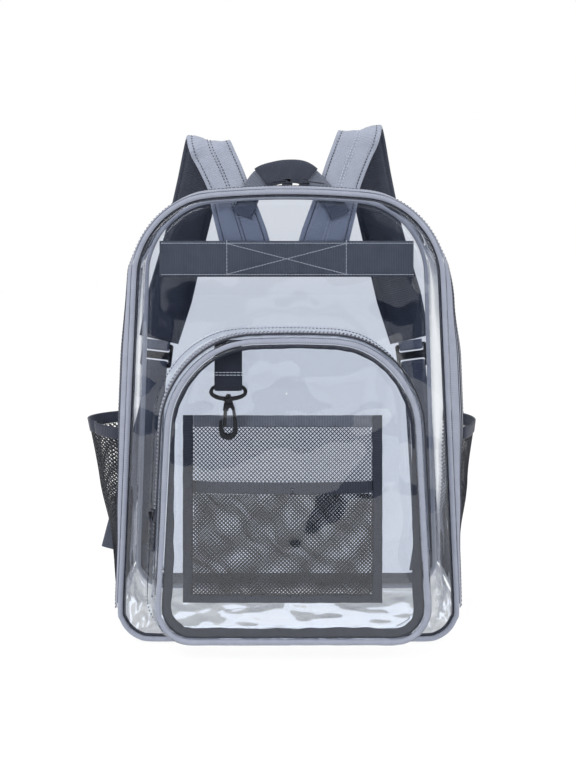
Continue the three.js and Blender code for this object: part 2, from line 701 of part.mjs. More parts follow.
// Webbing loop, swivel eye, hook and gate of the key clip, in a frame at the eye's middle
function addKeyClip() {
  const [seamLeft, seamRight] = [-1, 1].map(
    (side) => pocketCeiling(CLIP.x + side * WIDE_WEBBING / 2, CLIP.inset));
  const seam = seamLeft.clone().lerp(seamRight, 0.5);
  const frame = new THREE.Matrix4().makeTranslation(CLIP.x, seam.y, CLIP.z);
  const eyeThick = 4;
  const barLow = 3.4;
  const top = { y: BAR_PLY * 0.4, z: seam.z - CLIP.z };
  const upper = [[BAR_PLY, 9], [top.y, 20]];
  const path = [
    ...upper.map(([y, z]) => [-y, z]).reverse(), ...hairpin(barLow, barLow - 1.8), ...upper,
  ];
  const level = vec(1, 0, 0);
  const sewn = (y) => ({
    at: vec(0, y, top.z),
    across: vec(seamRight.x - seamLeft.x, 0, seamRight.z - seamLeft.z),
    width: seamLeft.distanceTo(seamRight),
  });
  const hanging = path.map(([y, z]) => ({ at: vec(0, y, z), across: level, width: WIDE_WEBBING }));
  const stations = [sewn(-top.y), ...hanging, sewn(top.y)];
  place('clip_webbing', sweep(stations, WEBBING), darkWebbing(), frame);

  const ringOuter = [
    ...arc(10.6, 0, 6.8, 6.5, 0, 90, 4), ...arc(-10.6, 0, 6.8, 6.5, 90, 180, 4),
    ...arc(0, 0, 17.4, 8, 180, 360, 12).slice(1, -1),
  ];
  const ringInner = [
    ...arc(11.6, 0, 2.4, barLow, 0, 90, 3), ...arc(-11.6, 0, 2.4, barLow, 90, 180, 3),
    ...arc(0, 0, 14, 4.4, 180, 360, 10).slice(1, -1),
  ];
  const bossLow = -9.2;
  const ringLow = -4.4;
  const eye = combine(plate(ringOuter, eyeThick, [ringInner]), {
    add: [upright(3.9, 3.9, bossLow, ringLow - 0.05)],
    cut: [upright(1.8, 1.8, bossLow - 2, ringLow + 1)],
  });
  place('clip_eye', eye, blackPlastic(), frame);

  const headLow = ringLow + GAP;
  const collarTop = bossLow - GAP;
  const thick = 5.4;
  const pin = { x: -2.4, z: -14 };
  const hookOuter = [
    [3.9, collarTop], [-3.9, collarTop], [-4.9, -16.4], [-0.2, -17.2], [0.6, -14.6],
    [2.4, -14.4], [3.6, -17], [4.3, -24], [4.4, -34.5],
    ...arc(0, -34.5, 4.4, 4.2, 0, -180, 6).slice(1),
    [-5.4, -33], [-5.6, -26.4], [-7.0, -25.2], [-8.3, -26.6],
    ...arc(0, -34.8, 8.6, 8.9, -180, 0, 8),
    [7.4, -24], [5.6, -14],
  ];
  const slot = 1.7;
  const hook = combine(plate(hookOuter, thick), {
    add: [upright(1.5, 1.5, collarTop - 1, headLow + 0.2), upright(1.6, 2.9, headLow, headLow + 2.2)],
    cut: [block(-9, 0.4, -slot, slot, -18, -11.4)],
  });
  const pinRod = new THREE.CylinderGeometry(0.9, 0.9, thick - 0.6, 10).translate(pin.x, 0, pin.z);
  place('clip_hook', combine(hook, { add: [pinRod] }), blackPlastic(), frame);

  const gateCorners = [
    ...arc(0, 0, 1.9, 1.9, 30, 180, 5), [-2.1, -6], [-2.6, -17.4], [-1.2, -18.2],
    [0.5, -17], [1.1, -6],
  ];
  const gate = combine(plate(gateCorners, 2 * (slot - GAP)), {
    cut: [new THREE.CylinderGeometry(1.25, 1.25, 8, 10)],
  });
  const gateFrame = frame.clone().multiply(new THREE.Matrix4().makeTranslation(pin.x, 0, pin.z));
  place('clip_gate', gate, blackPlastic(), gateFrame);
}

// Mesh pockets sewn to the two side walls, with an elastic hem at the mouth
function addSidePockets() {
  const { low, high, hem, front, back, start } = SIDE_POCKET;
  for (const side of ['left', 'right']) {
    const pointAt = (z, share, out) => {
      const right = placeAtHeight(bagEdge, z);
      const place = side === 'right' ? right : POINTS - right;
      const rise = (z - low) / (high - low);
      const reach = mix(start, SIDE_REACH[side], rise ** 1.15) * smooth(rise, -0.02, 0.12);
      const belly = Math.sin(Math.PI * share) ** 0.75;
      const w = mix(front, bagDepth(z) - back, share);
      const seat = VINYL + 2.5 * GAP + MESH / 2 + out;
      return wallPoint(place, w, seat + reach * belly);
    };
    const grid = (heights, out) => heights.map((z) => {
      const row = [];
      for (let j = 0; j <= 8; j++) {
        row.push(pointAt(z, j / 8, out));
      }
      return row;
    });
    const heights = [0, 0.06, 0.15, 0.32, 0.5, 0.7, 0.86, 1].map(
      (share) => mix(low, high - hem - GAP, share));
    place(`side_pocket_mesh_${side}`, sheet(grid(heights, 0), MESH), darkMesh());
    const hemHeights = [high - hem, high - hem / 2, high];
    place(`side_pocket_hem_${side}`, sheet(grid(hemHeights, 0.6), 2), darkWebbing());
  }
}

// Wide webbing inside the back panel that spreads the load of the straps and the handle
function addBackBand() {
  const { low, high, half } = BACK_BAND;
  const stations = [-half, -half / 2, 0, half / 2, half].map((x) => ({
    at: vec(x, -VINYL / 2 - GAP - WEBBING / 2, (low + high) / 2),
    across: vec(0, 0, 1), width: high - low,
  }));
  place('back_band', sweep(stations, WEBBING), darkWebbing());
  const strip = [];
  for (let i = -7; i <= 7; i++) {
    const edge = edgeAt(backEdge, i);
    strip.push([shifted(edge, -SEAM_OUT - BINDING.width), shifted(edge, -BINDING.start)]);
  }
  place('back_inner_binding', flatStrip(strip, () => 0, VINYL / 2 + GAP, TAPE), darkWebbing());
}

// Padded shoulder straps, their ladder locks and the adjusting webbing down to the corner tabs
function strapStations({ side, shift, rise }) {
  const points = STRAP_PATH.map(
    (row) => vec(side * row.x + shift, row.y, BAG.high + row.above + rise * row.rise));
  const curve = new THREE.CatmullRomCurve3(points, false, 'centripetal');
  const stations = [];
  const steps = 2 * (STRAP_PATH.length - 1);
  for (let i = 0; i <= steps; i++) {
    const row = Math.min(Math.floor(i / 2), STRAP_PATH.length - 2);
    const share = i / 2 - row;
    const from = STRAP_PATH[row];
    const to = STRAP_PATH[row + 1];
    const tilt = radians(mix(from.tilt, to.tilt, share));
    stations.push({
      at: curve.getPoint(i / steps),
      across: vec(side * Math.cos(tilt), 0, Math.sin(tilt)),
      width: mix(from.width, to.width, share),
    });
  }
  return stations;
}
function ladderLock() {
  const { width, height, thick, slot, barEdge, middle } = LOCK;
  return plate(rounded(width / 2, -height / 2, height / 2, 3), thick, [
    rounded(slot / 2, middle, barEdge, 1, 1),
    rounded(slot / 2, -barEdge, -middle, 1, 1),
  ]);
}
function addStraps() {
  for (const [name, fit] of Object.entries(STRAP_FIT)) {
    const stations = strapStations(fit);
    place(`shoulder_strap_${name}`, sweep(stations, PAD, PADDED), greyCloth());

    const end = stations[stations.length - 1].at;
    const before = stations[stations.length - 2].at;
    const up = before.clone().sub(end).normalize();
    const tabFoot = vec(fit.side * CORNER_TAB.x, 5, CORNER_TAB.high);
    const pulled = end.clone().sub(tabFoot).normalize();
    up.lerp(pulled, 0.6).normalize();
    const backwards = vec(1, 0, 0).cross(up).negate().normalize();
    const across = backwards.clone().cross(up).normalize();
    const middle = end.clone().addScaledVector(up, -LOCK.below);
    const frame = new THREE.Matrix4().makeBasis(across, backwards, up).setPosition(middle);
    place(`ladder_lock_${name}`, ladderLock(), blackPlastic(), frame);

    const turn = hairpin(LOCK.barEdge, (LOCK.barEdge + LOCK.middle) / 2);
    const tabTop = LOCK.below - GAP - 0.4;
    const tabPath = [[-BAR_PLY, tabTop], ...turn, [BAR_PLY, tabTop]];
    const unturned = vec(1, 0, 0);
    const tab = tabPath.map(([y, z]) => ({ at: vec(0, y, z), across: unturned, width: WIDE_WEBBING }));
    place(`strap_tab_${name}`, sweep(tab, WEBBING), greyTrim(), frame);

    const inFrame = (y, z) => vec(0, y, z).applyMatrix4(frame);
    const below = -LOCK.barEdge - 6;
    const loop = [[-BAR_PLY, below], ...turn.map(([y, z]) => [y, -z]), [BAR_PLY, below]];
    const run = [
      tabFoot.clone().add(vec(0, 0, -22)), tabFoot,
      ...loop.map(([y, z]) => inFrame(y, z)),
      ...TAIL[name].map(({ out, y, z }) => vec(fit.side * (BACK.halfBottom + out), y, z)),
    ];
    const adjuster = run.map((at, i) => {
      const hanging = Math.max(0, i - loop.length - 1) / TAIL[name].length;
      const lean = name === 'left' ? 0.26 * hanging : 0;
      return { at, across: across.clone().add(vec(0, 0, lean)), width: WIDE_WEBBING };
    });
    place(`adjuster_${name}`, sweep(adjuster, WEBBING), darkWebbing());

    const { x, low, high, width } = CORNER_TAB;
    const rest = VINYL / 2 + PIPING_RADIUS;
    const corners = [
      [-width / 2, low], [width / 2 - 8, low], [width / 2 - 3, low + 12],
      [WIDE_WEBBING / 2, high], [-WIDE_WEBBING / 2, high],
    ];
    const turned = fit.side > 0 ? corners : corners.map(([px, pz]) => [-px, pz]).reverse();
    const tabFrame = new THREE.Matrix4().makeTranslation(fit.side * x, rest, 0);
    place(`corner_tab_${name}`, plate(turned, WEBBING), greyTrim(), tabFrame);
  }
}

// Carrying handle: webbing sewn to the back panel, through a padded grip
function handleStations(from, to, width) {
  const curve = new THREE.CatmullRomCurve3(
    HANDLE_PATH.map(({ x, y, above }) => vec(x, y, BAG.high + above)), false, 'centripetal');
  const steps = 24;
  const stations = [];
  for (let i = 0; i <= steps; i++) {
    const at = curve.getPoint(i / steps);
    const tangent = curve.getTangent(i / steps);
    const across = vec(-tangent.z, 0, tangent.x);
    if (at.x >= from && at.x <= to) {
      stations.push({ at, across, width });
    }
  }
  return stations;
}
function addHandle() {
  const webbing = sweep(handleStations(-100, 100, WIDE_WEBBING - 4), WEBBING);
  place('grab_handle_webbing', webbing, greyTrim());
  const outer = sweep(handleStations(GRIP.left, GRIP.right, GRIP.height), GRIP.thick, PADDED);
  const passage = sweep(handleStations(-100, 100, WIDE_WEBBING - 4 + 2 * GAP), WEBBING + 2 * GAP);
  place('grab_handle_grip', combine(outer, { cut: [passage] }), darkWebbing());
}

addPanels();
addPiping();
addMainZip();
addMainSliders();
addPocket();
addPocketZip();
addOrganizer();
addKeyClip();
addSidePockets();
addBackBand();
addStraps();
addHandle();

// The origin is on the floor, under the middle of the whole
bag.updateMatrixWorld(true);
const bounds = new THREE.Box3().setFromObject(bag, true);
bag.position.set(
  -(bounds.min.x + bounds.max.x) / 2, -(bounds.min.y + bounds.max.y) / 2, -bounds.min.z);

export default bag;
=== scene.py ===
"""Clear backpack with a front pocket, mesh side pockets and padded shoulder straps."""

import bmesh
import bpy
import numpy as np
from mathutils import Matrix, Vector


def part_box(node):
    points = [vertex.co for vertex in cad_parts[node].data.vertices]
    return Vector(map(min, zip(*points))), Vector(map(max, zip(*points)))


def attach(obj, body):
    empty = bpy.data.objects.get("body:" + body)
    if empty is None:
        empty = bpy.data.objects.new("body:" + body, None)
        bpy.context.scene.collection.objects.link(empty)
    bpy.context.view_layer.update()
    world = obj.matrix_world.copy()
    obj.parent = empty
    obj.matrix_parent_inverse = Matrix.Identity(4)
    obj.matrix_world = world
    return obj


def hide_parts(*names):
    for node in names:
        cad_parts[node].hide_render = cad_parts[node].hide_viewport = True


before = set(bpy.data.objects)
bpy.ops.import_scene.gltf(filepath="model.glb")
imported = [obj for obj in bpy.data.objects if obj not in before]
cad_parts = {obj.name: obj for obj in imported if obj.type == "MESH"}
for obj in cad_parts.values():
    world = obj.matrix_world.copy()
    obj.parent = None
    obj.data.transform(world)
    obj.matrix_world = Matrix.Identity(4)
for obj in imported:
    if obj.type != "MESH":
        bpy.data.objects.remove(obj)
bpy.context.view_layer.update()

# Studio: a white light table and white surroundings, with one large soft lamp high on the left
# and a weaker one on the right. Dark flags and bright boards at the sides show only in the film;
# the end behind the camera is dark, so that the film veils nothing. The camera stands 0.87 m in
# front of the bag, a little under its top, and looks slightly down.
scene = bpy.context.scene
scene.view_settings.view_transform = "Standard"
scene.cycles.transparent_max_bounces = 48
scene.cycles.max_bounces = 10
WHITE = (1, 1, 1, 1)


def linear(code):
    """Colour of a hex code such as a8b0c2, turned from sRGB to linear, with full alpha."""
    parts = np.array([int(code[i:i + 2], 16) for i in (0, 2, 4)]) / 255
    low, high = parts / 12.92, ((parts + 0.055) / 1.055) ** 2.4
    return (*np.where(parts <= 0.04045, low, high), 1.0)


def add(tree, kind, inputs=(), **settings):
    """Add a node of this kind, set its settings, and set or link its inputs by name or number."""
    node = tree.nodes.new("ShaderNode" + kind)
    for name, value in settings.items():
        setattr(node, name, value)
    for name, value in dict(inputs).items():
        if isinstance(value, bpy.types.NodeSocket):
            tree.links.new(value, node.inputs[name])
        else:
            node.inputs[name].default_value = value
    return node


def empty_material(name):
    """Material with nothing in it but an output."""
    material = bpy.data.materials.new(name)
    material.use_nodes = True
    material.node_tree.nodes.clear()
    return material, material.node_tree


def finish_material(tree, shader):
    """Link a shader to the material's output."""
    add(tree, "OutputMaterial", {"Surface": shader.outputs[0]})


world = bpy.data.worlds.new("studio")
scene.world = world
world.use_nodes = True
tree = world.node_tree
tree.nodes.clear()
path = add(tree, "LightPath")
direction = add(tree, "TexCoord")
level = add(tree, "SeparateXYZ", {"Vector": direction.outputs["Generated"]})
shapes = add(tree, "TexNoise", {
    "Vector": direction.outputs["Generated"], "Scale": 3.4, "Detail": 0.0, "Distortion": 0.6})
flags = add(tree, "MapRange", {
    "Value": shapes.outputs["Fac"], "From Min": 0.57, "From Max": 0.61, "To Min": 0.0,
    "To Max": 2.6}, interpolation_type="SMOOTHSTEP")
ceiling = add(tree, "MapRange", {
    "Value": level.outputs["Z"], "From Min": 0.35, "From Max": 0.9, "To Min": 0.0,
    "To Max": 0.6}, interpolation_type="SMOOTHSTEP")
bright = add(tree, "Math", {0: flags.outputs[0], 1: ceiling.outputs[0]}, operation="MAXIMUM")
dark_end = add(tree, "MapRange", {
    "Value": level.outputs["Y"], "From Min": -0.86, "From Max": -0.55},
    interpolation_type="SMOOTHSTEP")
shine = add(tree, "Math", {0: bright.outputs[0], 1: dark_end.outputs[0]}, operation="MULTIPLY")
soft = add(tree, "Background", {"Color": WHITE, "Strength": shine.outputs[0]})
white = add(tree, "Background", {"Color": WHITE, "Strength": 1.0})
mixed = add(tree, "MixShader", {
    0: path.outputs["Is Glossy Ray"], 1: white.outputs[0], 2: soft.outputs[0]})
add(tree, "OutputWorld", {"Surface": mixed.outputs[0]})

floor_mesh = bpy.data.meshes.new("floor")
FLOOR = 6.0
floor_mesh.from_pydata(
    [(x * FLOOR, y * FLOOR, 0) for x, y in ((-1, -1), (1, -1), (1, 1), (-1, 1))],
    [], [(0, 1, 2, 3)])
floor = bpy.data.objects.new("floor", floor_mesh)
scene.collection.objects.link(floor)
paper, tree = empty_material("white_paper")
finish_material(tree, add(tree, "BsdfPrincipled", {
    "Base Color": linear("606060"), "Roughness": 1.0, "Specular IOR Level": 0.0,
    "Emission Color": WHITE, "Emission Strength": 0.9}))
floor_mesh.materials.append(paper)

for name, place, turn, size, power in (
    ("soft_box_left", (-1.5, -1.6, 2.0), (0.83, 0, -0.75), 1.4, 32),
    ("soft_box_right", (1.9, -1.2, 1.4), (1.05, 0, 1.0), 1.0, 12),
):
    lamp = bpy.data.lights.new(name, "AREA")
    lamp.shape = "SQUARE"
    lamp.size = size
    lamp.energy = power
    holder = bpy.data.objects.new(name, lamp)
    holder.location = place
    holder.rotation_euler = turn
    scene.collection.objects.link(holder)

lens = bpy.data.cameras.new("camera")
lens.sensor_fit = "VERTICAL"
lens.sensor_height = 24
lens.lens = 29.4
lens.shift_y = -0.1292
CAMERA_TILT = np.radians(2.5)
camera = bpy.data.objects.new("camera", lens)
camera.location = (0.0081, -0.9322, 0.371)
camera.rotation_euler = (np.pi / 2 - CAMERA_TILT, 0, 0)
scene.collection.objects.link(camera)
scene.camera = camera


# Front panel and back panel: clear PVC film 0.5 mm thick, cut to one outline with an arched top
# and sewn into the piping. The film billows a little and keeps the creases of its packing.
low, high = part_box("back_panel")
FOOT = np.array([(low.x + high.x) / 2, (low.y + high.y) / 2, 0])
FILM = 0.5
VINYL = 1.2
SEAM_OUT = 5.2
BAG = dict(
    centre=2, half_bottom=154, half_top=142, low=6.4, high=404, arch=13,
    bottom_radius=26, top_radius=66, depth_bottom=135, depth_top=112, crown=5)
BACK = {**BAG, "centre": 0, "half_bottom": 156, "half_top": 145}


def mix(a, b, share):
    """Value that lies at a share of the way from a to b."""
    return a + (b - a) * share


def smooth(value, start, end):
    """Zero before start, one after end, and a soft S between them."""
    t = np.clip((value - start) / (end - start), 0, 1)
    return t * t * (3 - 2 * t)


def unit(vectors):
    """Vectors scaled to length one."""
    return vectors / np.maximum(np.linalg.norm(vectors, axis=-1, keepdims=True), 1e-9)


def xyz(x, y, z):
    """Points from three arrays or numbers, spread to one shape."""
    return np.stack(np.broadcast_arrays(x, y, z), -1)


def length_along(points):
    """Distance of each point of a row from the first, measured along the row."""
    return np.concatenate([[0], np.cumsum(np.linalg.norm(np.diff(points, axis=0), axis=-1))])


def rows_at(place, known, rows):
    """Rows of numbers read off between their known places, column by column."""
    return np.stack([np.interp(place, known, column) for column in rows.T], -1)


def outline(size):
    """Fifty points round a panel, anticlockwise from the middle of its foot as seen from the
    front: a straight foot, round bottom corners, leaning sides, round top corners and an arch
    that falls off with the square of x. Each row is x, z and the outward direction."""
    side_low = size["low"] + size["bottom_radius"]
    side_high = size["high"] - size["top_radius"]
    half_top, top_radius = size["half_top"], size["top_radius"]
    flat = (size["half_bottom"] - size["bottom_radius"]) * np.arange(4) / 4
    turn = np.pi / 2 * np.arange(4) / 4
    corner_x = size["half_bottom"] - size["bottom_radius"] * (1 - np.sin(turn))
    corner_z = size["low"] + size["bottom_radius"] * (1 - np.cos(turn))
    share = np.arange(6) / 6
    turn = np.pi / 2 * np.arange(7) / 7
    shoulder_x = half_top - top_radius * (1 - np.cos(turn))
    top_x = (half_top - top_radius) * (1 - np.arange(5) / 4)
    x = np.concatenate([
        flat, corner_x, mix(size["half_bottom"], half_top, share), shoulder_x, top_x])
    z = np.concatenate([
        np.full(4, size["low"]), corner_z, mix(side_low, side_high, share),
        side_high + top_radius * np.sin(turn), np.full(5, size["high"])])
    arch = size["arch"] * (1 - (x / half_top) ** 2)
    z = z + np.where(np.arange(26) >= 14, arch, 0)
    x = np.concatenate([x, -x[-2:0:-1]])
    z = np.concatenate([z, z[-2:0:-1]])
    along = np.stack([np.roll(x, -1) - np.roll(x, 1), np.roll(z, -1) - np.roll(z, 1)], -1)
    along = unit(along)
    return np.stack([x + size["centre"], z, along[:, 1], -along[:, 0]], -1)


def edge_at(edge, place):
    """Smooth curve through an outline's points at fractional places along it, by the cubic
    that passes through each point with the slope of its two neighbours."""
    place = np.asarray(place, float)
    start = np.floor(place).astype(int)
    t = (place - start)[..., None]
    count = len(edge)
    a, b, c, d = (edge[(start + k) % count] for k in (-1, 0, 1, 2))
    cubic = 0.5 * (2 * b + (c - a) * t + (2 * a - 5 * b + 4 * c - d) * t ** 2
                   + (3 * b - a - 3 * c + d) * t ** 3)
    x, z = cubic[..., 0], cubic[..., 1]
    normal = unit(mix(b[..., 2:], c[..., 2:], t))
    return x, z, normal[..., 0], normal[..., 1]


def bag_depth(z):
    """Depth of the bag, which narrows evenly from its foot to its top."""
    return mix(BAG["depth_bottom"], BAG["depth_top"], (z - BAG["low"]) / (BAG["high"] - BAG["low"]))


def crown_share(size, x, z):
    """One in the middle of a panel and zero at its edge, over a rounded square."""
    share = (z - size["low"]) / (size["high"] + size["arch"] - size["low"])
    u = (x - size["centre"]) / mix(size["half_bottom"], size["half_top"], share)
    v = 2 * share - 1
    return np.maximum(0, 1 - np.sqrt(u ** 4 + v ** 4))


def front_y(x, z):
    """Crowned front panel, in front of the back panel by the bag's depth."""
    return -bag_depth(z) - BAG["crown"] * crown_share(BAG, x, z)


def billow(a, b, size, seed):
    """Gentle hills and hollows from -1 to 1: six sine waves in seeded directions, the longest
    as long as size and the others shorter and lower."""
    chance = np.random.default_rng(seed)
    total = np.zeros(np.broadcast(a, b).shape)
    for k in range(6):
        turn, phase = chance.uniform(0, np.pi), chance.uniform(0, 2 * np.pi)
        length = size * 0.78 ** k
        wave = (a * np.cos(turn) + b * np.sin(turn)) * 2 * np.pi / length
        total += 0.8 ** k * np.sin(wave + phase + 0.6 * np.sin(wave * 0.37 + phase))
    return total / 3.2


def crumple(a, b, size, seed):
    """Flat facets that meet in creases, from -1 to 1, like film that was folded small: four
    zigzag waves in seeded directions, each a third shorter and lower than the one before."""
    chance = np.random.default_rng(seed)
    total = np.zeros(np.broadcast(a, b).shape)
    for k in range(4):
        turn, phase = chance.uniform(0, np.pi), chance.uniform(0, 2)
        length = size * 0.68 ** k
        wave = (a * np.cos(turn) + b * np.sin(turn)) / length + phase
        wave = wave + 0.25 * np.sin((a * np.sin(turn) - b * np.cos(turn)) / length * 2.2)
        total += 0.68 ** k * (2 * np.abs(np.mod(wave, 2) - 1) - 1)
    return total / 2.2


def creases(a, b, lines):
    """Sum of sharp folds. Each line runs between two points, with a height and a width: the
    fold falls off with the distance from the line and fades beyond its ends."""
    total = np.zeros(np.broadcast(a, b).shape)
    for a0, b0, a1, b1, rise, width in lines:
        length = np.hypot(a1 - a0, b1 - b0)
        ca, cb = (a1 - a0) / length, (b1 - b0) / length
        along = (a - a0) * ca + (b - b0) * cb
        off = np.abs((b - b0) * ca - (a - a0) * cb)
        ends = smooth(along, -0.15 * length, 0.25 * length) * (
            1 - smooth(along, 0.75 * length, 1.15 * length))
        total += rise * ends * np.exp(-np.sqrt((off / width) ** 2 + 0.05))
    return total


def make_mesh(name, points, quads, uv=None):
    """Smooth mesh from points in millimetres and four-cornered faces, with a UV map in metres
    for each face corner."""
    mesh = bpy.data.meshes.new(name)
    mesh.vertices.add(len(points))
    mesh.vertices.foreach_set("co", (points / 1000 + FOOT).astype(np.float32).ravel())
    mesh.loops.add(quads.size)
    mesh.loops.foreach_set("vertex_index", quads.astype(np.int32).ravel())
    mesh.polygons.add(len(quads))
    mesh.polygons.foreach_set("loop_start", np.arange(0, quads.size, 4, dtype=np.int32))
    if uv is not None:
        layer = mesh.uv_layers.new(name="size")
        layer.data.foreach_set("uv", (uv / 1000).astype(np.float32).ravel())
    mesh.update(calc_edges=True)
    mesh.validate()
    mesh.polygons.foreach_set("use_smooth", np.ones(len(mesh.polygons), bool))
    return mesh


def grid_mesh(name, grid, round_rows=False, round_columns=False):
    """Faces between the rows and columns of a grid of points. A round grid also joins its last
    row or column to its first. The UV map holds the lengths along the middle column and row."""
    rows, columns = grid.shape[:2]
    index = np.arange(rows * columns).reshape(rows, columns)
    full = grid
    if round_rows:
        index = np.vstack([index, index[:1]])
        full = np.concatenate([full, full[:1]])
    if round_columns:
        index = np.hstack([index, index[:, :1]])
        full = np.concatenate([full, full[:, :1]], axis=1)

    def corners(values):
        return np.stack(
            [values[:-1, :-1], values[:-1, 1:], values[1:, 1:], values[1:, :-1]], 2)

    u, v = length_along(full[:, columns // 2]), length_along(full[rows // 2])
    uv = np.stack(np.broadcast_arrays(u[:, None], v[None]), -1)
    quads = corners(index).reshape(-1, 4)
    return make_mesh(name, grid.reshape(-1, 3), quads, corners(uv).reshape(-1, 2))


def lofts(rings, joined=False):
    """Points, faces and UV lengths of many tubes at once. Rings has the shape tubes, stations,
    points round the section, 3. Ends are closed with faces across the section, unless each
    tube's last station is joined to its first."""
    tubes, stations, sides = rings.shape[:3]
    index = np.arange(tubes * stations * sides).reshape(tubes, stations, sides)
    full = rings
    if joined:
        index = np.concatenate([index, index[:, :1]], axis=1)
        full = np.concatenate([rings, rings[:, :1]], axis=1)
    steps = np.linalg.norm(np.diff(full.mean(2), axis=1), axis=-1)
    u = np.concatenate([np.zeros((tubes, 1)), np.cumsum(steps, 1)], 1)[..., None]
    first = np.concatenate([full[:, 0], full[:, 0, :1]], 1)
    v = np.concatenate(
        [np.zeros((tubes, 1)), np.cumsum(np.linalg.norm(np.diff(first, axis=1), axis=-1), 1)], 1)
    index = np.concatenate([index, index[..., :1]], axis=-1)
    uv = np.stack(np.broadcast_arrays(u, v[:, None]), -1)

    def corners(values):
        return np.stack([
            values[:, :-1, :-1], values[:, :-1, 1:], values[:, 1:, 1:], values[:, 1:, :-1]], 3)

    quads = [corners(index).reshape(-1, 4)]
    maps = [corners(uv).reshape(-1, 2)]
    if not joined:
        for j in range(sides // 2 - 1):
            ladder = [j, sides - 1 - j, sides - 2 - j, j + 1]
            for end, order in ((0, ladder), (-1, ladder[::-1])):
                quads.append(index[:, end][:, order])
                maps.append(uv[:, end][:, order].reshape(-1, 2))
    return rings.reshape(-1, 3), np.concatenate(quads), np.concatenate(maps)


def turned_out(points, quads, uv):
    """The same tubes with every face turned over if the whole is inside out."""
    a, b, c = (points[quads[:, k]] for k in range(3))
    d = points[quads[:, 3]]
    volume = np.einsum("ij,ij->i", a, np.cross(b, c)) + np.einsum("ij,ij->i", a, np.cross(c, d))
    if volume.sum() < 0:
        quads = quads[:, ::-1]
        uv = uv.reshape(-1, 4, 2)[:, ::-1].reshape(-1, 2)
    return points, quads, uv


def loft_mesh(name, rings, joined=False):
    """Mesh of one tube or many."""
    rings = rings if rings.ndim == 4 else rings[None]
    return make_mesh(name, *turned_out(*lofts(rings, joined)))


def bars(centres, upward, half_width, half_thick):
    """Four-sided rings of slim bars that follow centres (tubes, stations, 3), with their width
    square to the direction of upward and their thickness along it."""
    along = unit(np.gradient(centres, axis=1))
    side = unit(np.cross(along, upward))
    up = np.cross(side, along)
    turn = np.pi / 2 * (np.arange(4) + 0.5)
    reach = 1 / np.cos(np.pi / 4)
    width = np.asarray(half_width * np.ones(centres.shape[:2]))[..., None, None]
    thick = np.asarray(half_thick * np.ones(centres.shape[:2]))[..., None, None]
    return (centres[:, :, None] + side[:, :, None] * np.cos(turn)[:, None] * reach * width
            + up[:, :, None] * np.sin(turn)[:, None] * reach * thick)


def show(name, mesh, body, nodes=(), materials=()):
    """Put a finished mesh into the scene as a piece that rides on a body, with its materials,
    and stands for CAD nodes, which it hides."""
    for material in materials:
        mesh.materials.append(material)
    thing = bpy.data.objects.new(name, mesh)
    scene.collection.objects.link(thing)
    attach(thing, body)
    if nodes:
        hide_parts(*nodes)
    return thing


def show_tubes(name, rings, nodes, material, joined=False):
    """Show one tube or many as a piece of the bag."""
    return show(name, loft_mesh(name, rings, joined), "bag", nodes, [material])


def film(name, grid, node, material, round_rows=False, round_columns=False):
    """Sheet of film over a grid of points, with half its thickness to each side."""
    mesh = grid_mesh(name, grid, round_rows, round_columns)
    sheet = show(name, mesh, "bag", [node], [material])
    wall = sheet.modifiers.new("thickness", "SOLIDIFY")
    wall.thickness = FILM / 1000
    wall.offset = 0
    wall.use_even_offset = False


# Clear PVC: nearly colourless face on, with a cool grey where the film is seen along its surface,
# and a mirror of the studio that grows towards the edges as for IOR 1.53. Fine ripples of the
# film break the mirror up.
def clear_film(name, face_on, edge_on, roughness, upper=None):
    """Film of a tint seen face on and edge on, with a mirror by the Schlick curve. An upper
    tint takes over towards the top of the bag."""
    material, tree = empty_material(name)
    where = add(tree, "TexCoord")
    facing = add(tree, "LayerWeight", {"Blend": 0.5})
    slant = add(tree, "Math", {0: facing.outputs["Facing"], 1: 4}, operation="POWER")
    shine = add(tree, "MapRange", {"Value": slant.outputs[0], "To Min": 0.03, "To Max": 0.9})
    height = add(tree, "SeparateXYZ", {"Vector": where.outputs["Object"]})
    high_up = add(tree, "MapRange", {
        "Value": height.outputs["Z"], "From Min": 0.30, "From Max": 0.40},
        interpolation_type="SMOOTHSTEP")
    flat = add(tree, "Mix", {
        "Factor": high_up.outputs[0], 6: linear(face_on), 7: linear(upper or face_on)},
        data_type="RGBA")
    tint = add(tree, "Mix", {
        "Factor": slant.outputs[0], 6: flat.outputs[2], 7: linear(edge_on)}, data_type="RGBA")
    waves = add(tree, "TexNoise", {
        "Vector": where.outputs["Object"], "Scale": 22.0, "Detail": 1.0})
    bump = add(tree, "Bump", {
        "Height": waves.outputs["Fac"], "Strength": 0.5, "Distance": 0.004})
    clear = add(tree, "BsdfTransparent", {"Color": tint.outputs[2]})
    mirror = add(tree, "BsdfGlossy", {
        "Color": WHITE, "Roughness": roughness, "Normal": bump.outputs[0]})
    finish_material(tree, add(tree, "MixShader", {
        0: shine.outputs[0], 1: clear.outputs[0], 2: mirror.outputs[0]}))
    return material


pvc_film = clear_film("clear_pvc_film", "fbfcfd", "a4a9b8", 0.03)
back_pvc = clear_film("clear_pvc_film_back", "e6e9f0", "a4a9b8", 0.05, "f1f3f7")

bag_edge = outline(BAG)
back_edge = outline(BACK)
POINTS = len(bag_edge)


def panel_grid(edge, y_at, rings, steps):
    """Points of a panel: its outline drawn in towards its middle in rings, on a surface whose
    depth is a function of x and z."""
    x, z, _, _ = edge_at(edge, np.linspace(0, POINTS, steps, endpoint=False))
    middle_x, middle_z = edge[:, 0].mean(), (edge[0, 1] + edge[POINTS // 2, 1]) / 2
    share = np.linspace(1, 0.004, rings)[:, None]
    x, z = mix(middle_x, x, share), mix(middle_z, z, share)
    return xyz(x, y_at(x, z), z)


